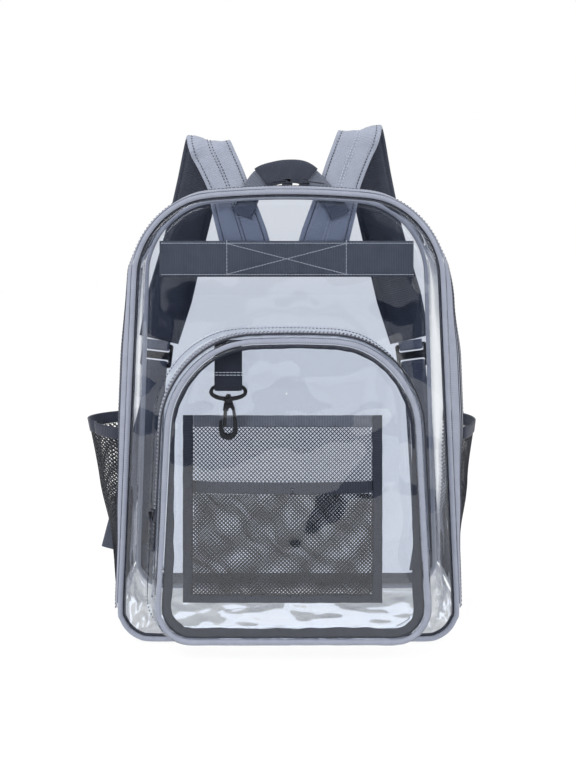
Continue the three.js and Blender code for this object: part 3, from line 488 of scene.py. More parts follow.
def front_film_y(x, z):
    """Front panel with its billows, stronger low down where the film has slumped."""
    held = smooth(crown_share(BAG, x, z), 0, 0.2)
    low_down = 1 + 1.2 * (1 - smooth(z, 40, 190))
    near_edge = 1 - smooth(crown_share(BAG, x, z), 0.1, 0.55)
    folds = creases(x, z, FRONT_FOLDS) + 2.6 * near_edge * crumple(x, z, 62, 12)
    return front_y(x, z) - held * (1.6 * low_down * billow(x, z, 190, 3) + folds)


FRONT_FOLDS = [
    (-128, 330, -118, 210, 1.6, 5), (-110, 392, -60, 402, 1.2, 6), (112, 385, 128, 330, 1.5, 5),
    (126, 60, 96, 20, 2.2, 4), (140, 90, 112, 46, 1.8, 4), (-132, 70, -104, 22, 2.0, 4),
    (-60, 300, 40, 330, 0.9, 8), (60, 296, 118, 322, 1.0, 7),
]
film("front_panel_film", panel_grid(bag_edge, front_film_y, 56, 320), "front_panel", pvc_film,
     round_columns=True)


def back_film_y(x, z):
    """Back panel with shallow billows."""
    return 1.1 * smooth(crown_share(BACK, x, z), 0, 0.25) * billow(x, z, 210, 9)


film("back_panel_film", panel_grid(back_edge, back_film_y, 40, 240), "back_panel", back_pvc,
     round_columns=True)


# Gusset and bottom: two more pieces of the film. The gusset runs up one side, over the top and
# down the other, and bulges between its seams; the bottom joins its two ends.
SIDE_START = 8.01
SIDE_END = POINTS - SIDE_START
ZIP = dict(tape=8, coil=3)
SWELL = np.array([
    # place round the outline from the right-hand bottom corner, and how far the wall swells
    (8, 0), (9, 2), (10, 9), (11.5, 16), (12.5, 16), (13.5, 10), (14.5, 4), (16, -2), (19, -2),
    (21, 1), (25, 2), (29, 1), (31, -2), (34, -2), (36, 4), (37.5, 9), (38.5, 9), (40, 6),
    (41, 1), (42, 0)])


def swell_at(place):
    """Swell at a place, by a soft step from one row of the table to the next."""
    place = np.mod(place, POINTS)
    row = np.clip(np.searchsorted(SWELL[:, 0], place), 1, len(SWELL) - 1)
    here, there = SWELL[row - 1], SWELL[row]
    return mix(here[..., 1], there[..., 1], smooth(place, here[..., 0], there[..., 0]))


def wall_point(place, w, lift=0.0):
    """Point on the bag's wall at a place round its outline, w behind the front edge. It swells
    outwards by half an ellipse between its two seams."""
    x0, z0, nx, nz = edge_at(bag_edge, place)
    x1, z1, _, _ = edge_at(back_edge, place)
    depth = bag_depth(z0)
    share = w / depth
    out = SEAM_OUT + lift + swell_at(place) * np.sqrt(np.maximum(0, 1 - (2 * share - 1) ** 2))
    return xyz(mix(x0, x1, share) + out * nx, w - depth, mix(z0, z1, share) + out * nz)


def wall_depth(place):
    """Depth of the wall at a place."""
    return bag_depth(edge_at(bag_edge, place)[1])


def wall_grid(start, end, steps, from_w, to_w, columns, lift):
    """Grid on the wall between two places and two distances from the front edge. The far one
    is a function of place, and the lift one of place and distance."""
    place = np.linspace(start, end, steps)[:, None]
    share = np.linspace(0, 1, columns)[None]
    w = mix(from_w, to_w(place), share)
    return wall_point(place, w, lift(place, w))


def edge_length(place):
    """Length in millimetres along the front outline from its first point to a place."""
    total = length_along(np.vstack([bag_edge, bag_edge[:1]])[:, :2])
    return np.interp(np.mod(place, POINTS), np.arange(POINTS + 1), total)


def gusset_lift(place, w):
    """Billows of the gusset, none at its seams and none behind the side pockets' seams."""
    depth = wall_depth(place)
    held = np.clip(4 * (w - 16) / depth, 0, 1) * np.clip(4 * (depth - w) / depth, 0, 1)
    s = edge_length(place)
    return held * (0.9 * billow(s, w, 95, 21) + 1.9 * crumple(s, w * 0.7, 58, 31) - 0.6)


def bottom_lift(place, w):
    """Facets and billows of the bottom, which has about 34 mm from place to place."""
    held = np.sin(np.pi * np.clip(w / wall_depth(place), 0, 1))
    s = place * 34
    return -0.6 + 0.4 * billow(s, w, 70, 5) + held * 1.6 * crumple(s, w, 46, 23)


film("gusset_film", wall_grid(
    SIDE_START, SIDE_END, 420, 2 * ZIP["tape"], wall_depth, 26, gusset_lift),
    "gusset", pvc_film)
film("bottom_film", wall_grid(
    0.05 - SIDE_START, SIDE_START - 0.05, 200, 0, wall_depth, 60, bottom_lift),
    "bottom_panel", pvc_film)


# Piping: a cord in a folded strip of grey woven tape, sewn all round the front and back seams.
# The weave is too fine to show, so it is drawn at twice its size.
def plain(name, colour, roughness, gloss):
    """Material of one even colour."""
    material, tree = empty_material(name)
    finish_material(tree, add(tree, "BsdfPrincipled", {
        "Base Color": linear(colour), "Roughness": roughness, "Specular IOR Level": gloss}))
    return material


def woven(name, colour, dark, rib, cross, depth, rib_shade=0.12):
    """Woven cloth on the piece's own UV map in metres: ribs across its length and finer ribs
    along it, in millimetres, with uneven dye and a soft sheen. The ribs' height is also laid
    over the colour as painted shade in the grooves and painted highlight on the ribs."""
    material, tree = empty_material(name)
    where = add(tree, "UVMap", uv_map="size")
    split = add(tree, "SeparateXYZ", {"Vector": where.outputs[0]})
    ribs = [
        add(tree, "Math", {0: add(tree, "Math", {
            0: split.outputs[axis], 1: 2000 * np.pi / pitch}, operation="MULTIPLY").outputs[0]},
            operation="SINE")
        for axis, pitch in (("X", rib), ("Y", cross))]
    product = add(tree, "Math", {0: ribs[0].outputs[0], 1: ribs[1].outputs[0]},
                  operation="MULTIPLY")
    both = add(tree, "Math", {0: ribs[0].outputs[0], 1: product.outputs[0]}, operation="ADD")
    height = add(tree, "MapRange", {
        "Value": both.outputs[0], "From Min": -2, "From Max": 2})
    place = add(tree, "TexCoord")
    blotch = add(tree, "TexNoise", {
        "Vector": place.outputs["Object"], "Scale": 90.0, "Detail": 4.0, "Roughness": 0.7})
    uneven = add(tree, "Mix", {
        "Factor": blotch.outputs["Fac"], 6: linear(dark), 7: linear(colour)}, data_type="RGBA")
    # Painted shade and highlight: the ribs' height darkens the colour in the grooves and lightens
    # it on the ribs.
    rib_shaded_colour = add(tree, "Mix", {
        "Factor": rib_shade, 6: uneven.outputs[2], 7: height.outputs[0]},
        data_type="RGBA", blend_type="OVERLAY")
    bump = add(tree, "Bump", {
        "Height": height.outputs[0], "Strength": depth, "Distance": 0.0006})
    cloth = add(tree, "BsdfPrincipled", {
        "Base Color": rib_shaded_colour.outputs[2], "Roughness": 0.85, "Normal": bump.outputs[0],
        "Sheen Weight": 0.25, "Sheen Roughness": 0.4, "Specular IOR Level": 0.3})
    finish_material(tree, cloth)
    return material


grey_tape = woven("grey_woven_tape", "9ca1b0", "838898", 2.2, 2.0, 0.45)
dark_tape = woven("dark_seam_tape", "3d4150", "23262f", 1.8, 1.8, 0.6, rib_shade=0.25)
PIPING_RADIUS = 2.3
PIPING_OUT = 2.6


def piping_rings(edge, y_at, steps):
    """Round cord along an outline, a little outside it, that swells and shrinks a little, by a
    sine, where its stitches pull."""
    place = np.linspace(0, POINTS, steps, endpoint=False)[:, None]
    x, z, nx, nz = edge_at(edge, place)
    turn = np.linspace(0, 2 * np.pi, 12, endpoint=False)[None]
    round_cord = PIPING_RADIUS * (1 + 0.03 * np.sin(place * 31))
    out = PIPING_OUT + round_cord * np.cos(turn)
    back = round_cord * np.sin(turn)
    return xyz(x + out * nx, y_at(x, z) + back, z + out * nz)


for name, node, edge, y_at in (
    ("front_piping_cord", "front_piping", bag_edge, lambda x, z: -bag_depth(z)),
    ("back_piping_cord", "back_piping", back_edge, lambda x, z: 0 * z),
):
    show_tubes(name, piping_rings(edge, y_at, 500), [node],
               grey_tape, joined=True)


# Main zip: woven tapes with a nylon coil between them, closed by two sliders at the top. The
# coil's loops are drawn 2 mm apart, a little coarser than the real ones, so that they show.
dark_coil = plain("nylon_coil", "2b2f3b", 0.45, 0.5)
thread = plain("polyester_thread", "343946", 0.7, 0.3)
pale_thread = plain("pale_polyester_thread", "c3c9d6", 0.7, 0.3)
TAPE = 0.9


def even_places(point_at, start, end, pitch):
    """Places along a curve that lie the same number of millimetres apart."""
    fine = np.linspace(start, end, 3000)
    length = length_along(point_at(fine))
    count = int(length[-1] / pitch)
    return np.interp(np.linspace(0, length[-1], count), length, fine)


STITCH_SHARE, THREAD_RADIUS = 0.68, 0.32


def seam(name, point_at, start, end, upward, pitch=3.6, material=thread):
    """Row of stitches along a curve: short rounded bars of thread, highest in their middle,
    that dip into the cloth at their ends. Upward is the direction out of the cloth."""
    starts = even_places(point_at, start, end, pitch)
    step = (starts[1] - starts[0]) * STITCH_SHARE
    t = np.linspace(0, 1, 4)
    centres = point_at(starts[:, None] + step * t)
    lift = upward(starts[:, None] + step * t) if callable(upward) else np.array(upward, float)
    lift = lift * np.ones_like(centres)
    rise = THREAD_RADIUS * (1.4 * np.sin(np.pi * t) - 0.5)
    rings = bars(centres + lift * rise[None, :, None], lift, THREAD_RADIUS, THREAD_RADIUS)
    show_tubes(name, rings, (), material)


def tape_lift(place, w):
    """The front tape starts in the seam and rises onto the level of the gusset's film."""
    return (VINYL + 0.3) * smooth(w, 0, 5) + 0.5


def strip_rings(point_at, start, end, steps, columns, thickness):
    """Section of a strip at each step: a row of points on its outer face and one on its inner
    face. Point_at takes a place, a share across and a lift."""
    place = np.linspace(start, end, steps)[:, None]
    share = np.linspace(0, 1, columns)[None]
    outer = point_at(place, share, thickness / 2)
    inner = point_at(place, share[:, ::-1], -thickness / 2)
    return np.concatenate([outer, inner], axis=1)


def main_strip(from_w, to_w, lift):
    """Strip on the bag's wall between two distances from the front edge."""
    def at(place, share, up):
        w = mix(from_w, to_w, share)
        return wall_point(place, w, (lift(place, w) if callable(lift) else lift) + up)
    return at


COIL_LOW, COIL_HIGH = ZIP["tape"] + 0.15, ZIP["tape"] + ZIP["coil"] - 0.15
REAR_LOW, REAR_HIGH = ZIP["tape"] + ZIP["coil"] + 0.3, 2 * ZIP["tape"] + ZIP["coil"]
for name, node, low_w, high_w, lift in (
    ("main_zip_front_tape_cloth", "main_zip_front_tape", 0, ZIP["tape"] - 0.3, tape_lift),
    ("main_zip_rear_tape_cloth", "main_zip_rear_tape", REAR_LOW, REAR_HIGH, VINYL + 0.8),
):
    rings = strip_rings(main_strip(low_w, high_w, lift), SIDE_START, SIDE_END, 420, 7, TAPE)
    show_tubes(name, rings, [node], grey_tape)


def coil_rings(point_at, start, end, low_w, high_w, height):
    """Loops of a zip's coil: each one is an arch across the zip, from one tape over the middle
    to the other, with a thicker head in its middle."""
    places = even_places(lambda p: point_at(p, (low_w + high_w) / 2, 0), start, end, 2.0)
    t = np.linspace(0, 1, 7)[None]
    lean = (places[1] - places[0]) * 0.35 * (t - 0.5)
    w = mix(low_w, high_w, t)
    centres = point_at(places[:, None] + lean, w, 0.35 + height * np.sin(np.pi * t) ** 0.6)
    upward = point_at(places[:, None] + lean, w, 3.0) - point_at(places[:, None] + lean, w, 0)
    head = 0.42 + 0.22 * np.exp(-((t - 0.5) / 0.16) ** 2)
    return bars(centres, unit(upward), head, 0.4)


rings = coil_rings(
    lambda p, w, up: wall_point(p, w, VINYL + 0.3 + up), SIDE_START, SIDE_END,
    COIL_LOW, COIL_HIGH, 0.85)
show_tubes("main_zip_coil_loops", rings, ["main_zip_coil"], dark_coil)
rings = strip_rings(
    main_strip(COIL_LOW + 0.3, COIL_HIGH - 0.3, VINYL + 0.65), SIDE_START, SIDE_END, 420, 3, 0.5)
show_tubes("main_zip_coil_core", rings, [], dark_coil)


def wall_normal(w):
    """Direction out of the bag's wall at a distance from its front edge."""
    return lambda place: unit(wall_point(place, w, 2.0) - wall_point(place, w, 0))


for name, w in (("main_zip_front_stitches", 4.6), ("main_zip_rear_stitches", 17.4)):
    seam(name, lambda p, w=w: wall_point(
        p, w, tape_lift(p, w) + TAPE / 2 if w < ZIP["tape"] else VINYL + 1.25),
        SIDE_START, SIDE_END, wall_normal(w))


# Zip sliders and pulls: cast zinc, plated black nickel, with the edges polished by use.
black_nickel, tree = empty_material("black_nickel_plate")
where = add(tree, "TexCoord")
scuff = add(tree, "TexNoise", {
    "Vector": where.outputs["Object"], "Scale": 420.0, "Detail": 3.0})
rough = add(tree, "MapRange", {"Value": scuff.outputs["Fac"], "To Min": 0.22, "To Max": 0.42})
finish_material(tree, add(tree, "BsdfPrincipled", {
    "Base Color": linear("4b4e58"), "Metallic": 1.0, "Roughness": rough.outputs[0]}))


def rounded_copy(node, name, body, material, radius, segments=2):
    """Copy of a CAD node's mesh with its points merged and its edges rounded."""
    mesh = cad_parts[node].data.copy()
    mesh.name = name
    mesh.materials.clear()
    work = bmesh.new()
    work.from_mesh(mesh)
    bmesh.ops.remove_doubles(work, verts=work.verts, dist=2e-6)
    bmesh.ops.dissolve_limit(
        work, angle_limit=np.radians(1), verts=work.verts, edges=work.edges)
    work.to_mesh(mesh)
    work.free()
    thing = show(name, mesh, body, [node], [material])
    edge = thing.modifiers.new("rounding", "BEVEL")
    edge.width = radius / 1000
    edge.segments = segments
    edge.limit_method = "ANGLE"
    edge.angle_limit = np.radians(40)
    edge.harden_normals = False
    mesh.polygons.foreach_set("use_smooth", np.ones(len(mesh.polygons), bool))
    return thing


for node, body, radius in (
    ("main_left_slider", "bag", 0.4), ("main_left_pull", "left_main_pull", 0.25),
    ("main_right_slider", "bag", 0.4), ("main_right_pull", "right_main_pull", 0.25),
    ("pocket_slider", "bag", 0.4), ("pocket_pull", "front_pocket_pull", 0.25),
):
    rounded_copy(node, node + "_cast", body, black_nickel, radius)


# Front pocket: a shallow box of the film, sewn to the front panel by a flange of the same film
# and closed by a zip round its top and sides. Its panel hangs a little to the right.
POCKET_RIM = dict(
    centre=6, half_bottom=117, half_top=110, low=21, high=272, arch=9,
    bottom_radius=27, top_radius=70, depth_bottom=42, depth_top=34, crown=3, bulge=3)
FLARE = 5
POCKET_BASE = {
    **POCKET_RIM, "centre": 0, "half_bottom": 117 + FLARE, "half_top": 110 + FLARE,
    "low": 21 - FLARE, "high": 272 + FLARE}
SEAT = 1.4
rim_edge = outline(POCKET_RIM)
base_edge = outline(POCKET_BASE)


def rim_y(z):
    """Front of the pocket's wall: the front panel's edge less the pocket's own depth."""
    share = (z - POCKET_RIM["low"]) / (POCKET_RIM["high"] - POCKET_RIM["low"])
    return -bag_depth(z) - mix(POCKET_RIM["depth_bottom"], POCKET_RIM["depth_top"], share)


def pocket_front_y(x, z):
    """Crowned front of the pocket."""
    return rim_y(z) - POCKET_RIM["crown"] * crown_share(POCKET_RIM, x, z)


def pocket_wall(place, w, lift=0.0):
    """Point on the pocket's wall, w behind its rim, on the straight line from the rim to the
    flange, swelled outwards by half an ellipse."""
    x0, z0, nx, nz = edge_at(rim_edge, place)
    x1, z1, _, _ = edge_at(base_edge, place)
    rim = xyz(x0 + SEAM_OUT * nx, rim_y(z0), z0 + SEAM_OUT * nz)
    base = xyz(x1, front_y(x1, z1) - SEAT, z1)
    share = w / np.linalg.norm(rim - base, axis=-1)
    out = lift + POCKET_RIM["bulge"] * np.sqrt(np.maximum(0, 1 - (2 * share - 1) ** 2))
    line = mix(rim, base, share[..., None])
    return line + xyz(out * nx, 0, out * nz)


def pocket_wall_depth(place):
    """Width of the pocket's wall at a place."""
    x0, z0, nx, nz = edge_at(rim_edge, place)
    x1, z1, _, _ = edge_at(base_edge, place)
    return np.sqrt((x0 + SEAM_OUT * nx - x1) ** 2 + (rim_y(z0) - front_y(x1, z1) + SEAT) ** 2
                   + (z0 + SEAM_OUT * nz - z1) ** 2)


POCKET_FOLDS = [
    (-96, 60, -60, 34, 1.6, 5), (100, 70, 82, 36, 1.6, 5), (-60, 40, 20, 36, 1.4, 6),
    (10, 33, 100, 44, 1.6, 5), (-104, 200, -86, 250, 1.2, 6), (108, 180, 104, 240, 1.2, 6),
]


def pocket_film_y(x, z):
    """Front of the pocket with its billows and the folds along its foot."""
    held = smooth(crown_share(POCKET_RIM, x, z), 0, 0.3)
    near_edge = 1 - smooth(crown_share(POCKET_RIM, x, z), 0.08, 0.4)
    low_down = 1 - smooth(z, 60, 150)
    folds = creases(x, z, POCKET_FOLDS) + crumple(x, z, 55, 18) * (
        0.6 * near_edge + 1.3 * low_down * near_edge)
    return pocket_front_y(x, z) - held * (1.3 * billow(x, z, 170, 14) + folds)


film("pocket_front_film", panel_grid(rim_edge, pocket_film_y, 48, 300), "pocket_front_panel",
     pvc_film, round_columns=True)


def pocket_gusset_lift(place, w):
    """Small puckers of the pocket's wall, deeper round its bottom corners."""
    held = np.sin(np.pi * np.clip(w / pocket_wall_depth(place), 0, 1))
    z = edge_at(rim_edge, place)[1]
    return held * (0.6 + 1.0 * (1 - smooth(z, 30, 90))) * billow(place * 17, w, 40, 33)


place = np.linspace(0, POINTS, 420, endpoint=False)[:, None]
w = mix(0, pocket_wall_depth(place), np.linspace(0, 1, 14)[None])
film("pocket_gusset_film", pocket_wall(place, w, pocket_gusset_lift(place, w)), "pocket_gusset",
     pvc_film, round_rows=True)
rings = piping_rings(rim_edge, lambda x, z: rim_y(z), 420)
show_tubes("pocket_piping_cord", rings, ["pocket_piping"], grey_tape, joined=True)


def strip_on(edge, y_at, near, far, forward, thickness, start, end, steps, columns, joined):
    """Strip beside an outline, between two distances outside it, forward of a surface."""
    ends = np.linspace(start, end, steps, endpoint=not joined)[:, None]
    x, z, nx, nz = edge_at(edge, ends)
    share = np.linspace(0, 1, columns)[None]
    near = near(ends) if callable(near) else near

    def face(share, up):
        out = mix(near, far, share)
        px, pz = x + out * nx, z + out * nz
        return xyz(px, y_at(px, pz) - forward - up, pz)

    return np.concatenate([face(share, thickness), face(share[:, ::-1], 0)], axis=1)


def edge_stitch(edge, y_at, out, forward):
    """Curve for stitches beside an outline, on the front of a surface."""
    def at(place):
        x, z, nx, nz = edge_at(edge, place)
        px, pz = x + out * nx, z + out * nz
        return xyz(px, y_at(px, pz) - forward, pz)
    return at


def binding_edge(place):
    """Inner edge of the pocket's binding, which is wider low down and cut by hand."""
    low_down = 1 - smooth(edge_at(rim_edge, place)[1], 60, 215)
    return -4.2 - 5.0 * low_down - (0.6 + 0.8 * low_down) * billow(place * 19, 0, 44, 61)


FLANGE = dict(near=2.6, far=9.2)
for name, slot, nodes, material, edge, y_at, near, far, forward, thickness, steps, columns in (
    ("pocket_flange_film", "clear_vinyl", ["pocket_flange"], pvc_film, base_edge, front_y,
     FLANGE["near"], FLANGE["far"], SEAT, 0.6, 400, 5),
    ("pocket_inner_binding_tape", "grey_trim", ["pocket_inner_binding"], dark_tape, rim_edge,
     pocket_front_y, binding_edge, -0.5, -VINYL / 2 - 1.3, TAPE, 500, 5),
    # The front seam's strip of the dark tape stands for no CAD part: it is painted shadow, the dark
    # line of shade along the inner side of the front piping.
    ("front_seam_shadow_strip", "grey_trim", [], dark_tape, bag_edge, front_y,
     -2.3, 0.4, -VINYL / 2 - 0.5, 0.5, 500, 3),
):
    rings = strip_on(
        edge, y_at, near, far, forward, thickness, 0, POINTS, steps, columns, True)
    show_tubes(name, rings, nodes, material, joined=True)
FORWARD = (0, -1, 0)
seam("pocket_flange_stitches", edge_stitch(base_edge, front_y, 7.2, SEAT + 0.6), 0, POINTS,
     FORWARD, pitch=3.4)


def place_at_height(edge, height):
    """Place on the right-hand side of an outline where it reaches a height."""
    return float(np.interp(height, edge[8:22, 1], np.arange(8, 22)))


ZIP_START = place_at_height(rim_edge, 97)
ZIP_END = POINTS - ZIP_START
lift = VINYL + 0.3
rings = coil_rings(
    lambda p, w, up: pocket_wall(p, w, lift + up), ZIP_START, ZIP_END, 1.2, 4.2, 0.85)
show_tubes("pocket_zip_coil_loops", rings, ["pocket_zip_coil"], dark_coil)


def pocket_strip(from_w, to_w, lift):
    """Strip on the pocket's wall between two distances from its rim."""
    return lambda place, share, up: pocket_wall(place, mix(from_w, to_w, share), lift + up)


rings = strip_rings(pocket_strip(1.5, 3.9, lift + 0.4), ZIP_START, ZIP_END, 300, 3, 0.5)
show_tubes("pocket_zip_coil_core", rings, [], dark_coil)
rings = strip_rings(pocket_strip(4.5, 12.5, lift + 0.5), ZIP_START, ZIP_END, 300, 7, TAPE)
show_tubes("pocket_zip_tape_cloth", rings, ["pocket_zip_tape"], grey_tape)
for name, w in (("pocket_zip_inner_stitches", 6.2), ("pocket_zip_outer_stitches", 11.0)):
    seam(name, lambda p, w=w: pocket_wall(p, w + 0 * p, lift + 0.95), ZIP_START, ZIP_END,
         lambda p, w=w: unit(pocket_wall(p, w + 0 * p, 2.0) - pocket_wall(p, w + 0 * p, 0.0)))


# Organizer: two pockets of knitted mesh with bound edges, sewn to the front panel inside the
# front pocket. The mesh is real strands, 2.4 to 2.6 mm apart, a little coarser than the knit of
# such pockets so that it shows; the lower pocket's mesh hangs forward over the back one, and the
# two together give the moire.
ORGANIZER = dict(left=-96, right=89, low=38.4, high=212, mid_low=141, mid_high=152)
dark_binding = woven("dark_binding_cloth", "3f4351", "2a2e3a", 2.4, 1.6, 0.6, rib_shade=0.25)
# The top tape's cloth is the binding cloth painted lighter: a painted sheen for the light that the
# top binding catches.
sheen_painted_binding = woven("binding_cloth_painted_sheen", "6e7380", "4e535f", 2.4, 1.6, 0.6, rib_shade=0.25)
knit, tree = empty_material("dark_polyester_knit")
where = add(tree, "TexCoord")
fuzz = add(tree, "TexNoise", {
    "Vector": where.outputs["Object"], "Scale": 160.0, "Detail": 2.0})
shade = add(tree, "Mix", {
    "Factor": fuzz.outputs["Fac"], 6: linear("10131c"), 7: linear("262a36")}, data_type="RGBA")
finish_material(tree, add(tree, "BsdfPrincipled", {
    "Base Color": shade.outputs[2], "Roughness": 0.8, "Sheen Weight": 0.2,
    "Specular IOR Level": 0.3}))
IN_LEFT, IN_RIGHT = ORGANIZER["left"] + 9.5, ORGANIZER["right"] - 9.5
IN_LOW, IN_HIGH = ORGANIZER["low"] + 8, ORGANIZER["high"] - 11


def soft_strip(name, node, corners, y_at, forward, thickness, seed, steps=60,
               cloth=dark_binding):
    """Strip of binding along a row of inner and outer points, rounded over its edges, with a
    slightly uneven hand-guided width."""
    corners = np.asarray(corners, float)
    at = length_along(corners.mean(1))
    fine = np.sort(np.concatenate([np.linspace(0, at[-1], steps), at[1:-1]]))
    inner, outer = (rows_at(fine, at, corners[:, k]) for k in (0, 1))
    across = unit(outer - inner)
    ripple = 0.35 * billow(fine, 0 * fine, 26, seed)[:, None]
    inner, outer = inner + across * ripple, outer + across * ripple * 0.6
    share = np.array([0, 0.04, 0.2, 0.5, 0.8, 0.96, 1.0])[None, :, None]
    crown = np.array([0.35, 0.85, 1, 1.06, 1, 0.85, 0.35])[None]
    flat = mix(inner[:, None], outer[:, None], share)
    x, z = flat[..., 0], flat[..., 1]
    top = xyz(x, y_at(x, z) - forward - thickness * crown, z)
    foot = xyz(x, y_at(x, z) - forward, z)[:, ::-1]
    show_tubes(name, np.concatenate([top, foot], 1), [node], cloth)


left, right, low, high = (ORGANIZER[k] for k in ("left", "right", "low", "high"))
soft_strip("organizer_frame_binding", "organizer_frame", [
    [(IN_LEFT, high), (left, high)], [(IN_LEFT, IN_LOW), (left, low)],
    [(IN_RIGHT, IN_LOW), (right, low)], [(IN_RIGHT, high), (right, high)],
], front_y, VINYL / 2 + 0.3, 2.6, 4, steps=200)


def level_corners(low, high):
    """Corners of a level strip between the two sides of the frame."""
    return [[(x, low), (x, high)] for x in (IN_LEFT + 0.3, IN_RIGHT - 0.3)]


# The top tape's lighter cloth is painted sheen.
soft_strip("organizer_top_tape", "organizer_top_binding", level_corners(IN_HIGH, high),
           front_y, VINYL / 2 + 0.3, 2.6, 5, cloth=sheen_painted_binding)


def organizer_bow(x, z):
    """Forward bow of the front mesh: a parabola across and a slow sine upwards."""
    u = np.clip((x - IN_LEFT) / (IN_RIGHT - IN_LEFT), 0, 1)
    v = np.clip((z - IN_LOW) / (ORGANIZER["mid_low"] - IN_LOW), 0, 1)
    return 4 * u * (1 - u) * np.sin(np.pi * 0.6 * v)


STRAND_STATIONS = 26


def net(name, point_at, width, height, pitch, angles, nodes, half_width,
        sway=0.0):
    """Net of two families of strands across a cloth width by height millimetres. The strands of
    a family are parallel lines at an angle, a pitch apart, cut at the cloth's edges; one family
    lies a little above the other. Point_at turns cloth lengths into points."""
    strands = []
    for side, angle in enumerate(angles):
        turn = np.radians(angle)
        along = np.array([np.cos(turn), np.sin(turn)])
        across = np.array([-along[1], along[0]])
        corners = np.array([[0, 0], [width, 0], [0, height], [width, height]])
        offsets = corners @ across
        lines = np.arange(offsets.min() + pitch / 2, offsets.max(), pitch)
        reach = np.hypot(width, height)
        base = across * lines[:, None] + along * ((corners @ along).mean())
        t = np.linspace(-reach, reach, 4001)
        a = base[:, None, 0] + along[0] * t
        b = base[:, None, 1] + along[1] * t
        inside = (a >= 0) & (a <= width) & (b >= 0) & (b <= height)
        for k in range(len(lines)):
            kept = np.flatnonzero(inside[k])
            if len(kept) < 30:
                continue
            s = np.linspace(t[kept[0]], t[kept[-1]], STRAND_STATIONS)
            strands.append((side, base[k, 0] + along[0] * s, base[k, 1] + along[1] * s))
    side = np.array([strand[0] for strand in strands])[:, None]
    a, b = (np.array([strand[k] for strand in strands]) for k in (1, 2))
    drift = sway * billow(a, b, 60, 8)
    weave = np.where(side == 0, 0.14, -0.14)
    points = point_at(a + drift, b + drift * 0.7, weave)
    upward = point_at(a + drift, b + drift * 0.7, weave + 1.0) - points
    rings = bars(points, unit(upward), half_width, 0.16)
    piece = show_tubes(name, rings, nodes, knit)


MESH_WIDTH = IN_RIGHT - IN_LEFT
MESH_BOW = 6


def back_mesh_at(a, b, up):
    """Back mesh, flat on the front panel."""
    x, z = IN_LEFT + a, IN_LOW + b
    return xyz(x, front_y(x, z) - 1.9 - up, z)


def front_mesh_at(a, b, up):
    """Front mesh, which bows forward and hangs in soft waves."""
    x, z = IN_LEFT + a, IN_LOW + b
    bow = organizer_bow(x, z)
    waves = np.clip(bow * 2, 0, 1) * 0.8 * billow(a, b, 60, 17)
    return xyz(x, front_y(x, z) - 3.9 - MESH_BOW * bow - waves - up, z)


net("organizer_back_net", back_mesh_at, MESH_WIDTH, IN_HIGH - IN_LOW, 2.6, (45, 135),
    ["organizer_back_mesh"], half_width=0.4)
net("organizer_front_net", front_mesh_at, MESH_WIDTH, ORGANIZER["mid_low"] - IN_LOW, 2.4,
    (45, 135), ["organizer_front_mesh"], half_width=0.5, sway=1.6)


def mid_y(x, z):
    """Front of the lower pocket's binding, carried by the bowed mesh."""
    return front_y(x, z) - MESH_BOW * organizer_bow(x, ORGANIZER["mid_low"])


soft_strip("organizer_mid_tape", "organizer_mid_binding",
           level_corners(ORGANIZER["mid_low"], ORGANIZER["mid_high"]), mid_y,
           VINYL / 2 + 2.5, 1.6, 6)


# Key clip: a loop of black webbing sewn under the pocket's top seam, and a swivel eye, a hook
# and its spring gate moulded from black acetal.
webbing = woven("dark_ribbed_webbing", "565b6a", "3d424f", 1.8, 2.6, 0.7, rib_shade=0.25)
clip_webbing = woven("black_ribbed_webbing", "2c303d", "1f222c", 1.8, 2.6, 0.7, rib_shade=0.25)
acetal, tree = empty_material("black_acetal")
where = add(tree, "TexCoord")
grain = add(tree, "TexNoise", {
    "Vector": where.outputs["Object"], "Scale": 1500.0, "Detail": 1.0})
bump = add(tree, "Bump", {"Height": grain.outputs["Fac"], "Strength": 0.06, "Distance": 0.0004})
rough = add(tree, "MapRange", {"Value": grain.outputs["Fac"], "To Min": 0.32, "To Max": 0.45})
finish_material(tree, add(tree, "BsdfPrincipled", {
    "Base Color": linear("0f1118"), "Roughness": rough.outputs[0], "Normal": bump.outputs[0],
    "IOR": 1.48}))
for node, body, radius in (
    ("clip_eye", "bag", 0.9), ("clip_hook", "swivel_hook", 0.9), ("clip_gate", "hook_gate", 0.5),
):
    rounded_copy(node, node + "_moulded", body, acetal, radius, 3)

BAR_PLY = 3.0
WEBBING, WEBBING_WIDTH = 1.4, 25
CLIP_X, CLIP_Z = -52.8, 236


def hairpin(edge, middle):
    """Turn of webbing under a bar 4 mm thick, as rows of y and z, down one side and up."""
    return [[-BAR_PLY, edge - 0.4], [-BAR_PLY * 0.72, middle + 0.4], [0, middle],
            [BAR_PLY * 0.72, middle + 0.4], [BAR_PLY, edge - 0.4]]


def centripetal(points, steps):
    """Smooth curve through points, by cubic spans whose knots are spaced by the square root of
    the distance between the points. Returns steps points, evenly spaced in knots of the rows."""
    points = np.asarray(points, float)
    before = 2 * points[0] - points[1]
    after = 2 * points[-1] - points[-2]
    p = np.concatenate([[before], points, [after]])
    where = np.linspace(0, len(points) - 1, steps)
    start = np.minimum(where.astype(int), len(points) - 2)
    t = (where - start)[:, None]
    a, b, c, d = (p[start + k] for k in range(4))
    ab, bc, cd = (np.sqrt(np.maximum(np.linalg.norm(q - r, axis=-1, keepdims=True), 1e-6))
                  for q, r in ((b, a), (c, b), (d, c)))
    slope_b = ((b - a) / ab - (c - a) / (ab + bc) + (c - b) / bc) * bc
    slope_c = ((c - b) / bc - (d - b) / (bc + cd) + (d - c) / cd) * bc
    return (b + slope_b * t + (3 * (c - b) - 2 * slope_b - slope_c) * t ** 2
            + (2 * (b - c) + slope_b + slope_c) * t ** 3)


def curve_through(points, steps):
    """Even steps along a smooth curve through points, found by length."""
    fine = centripetal(points, 60 * len(points))
    length = length_along(fine)
    return rows_at(np.linspace(0, length[-1], steps), length, fine)


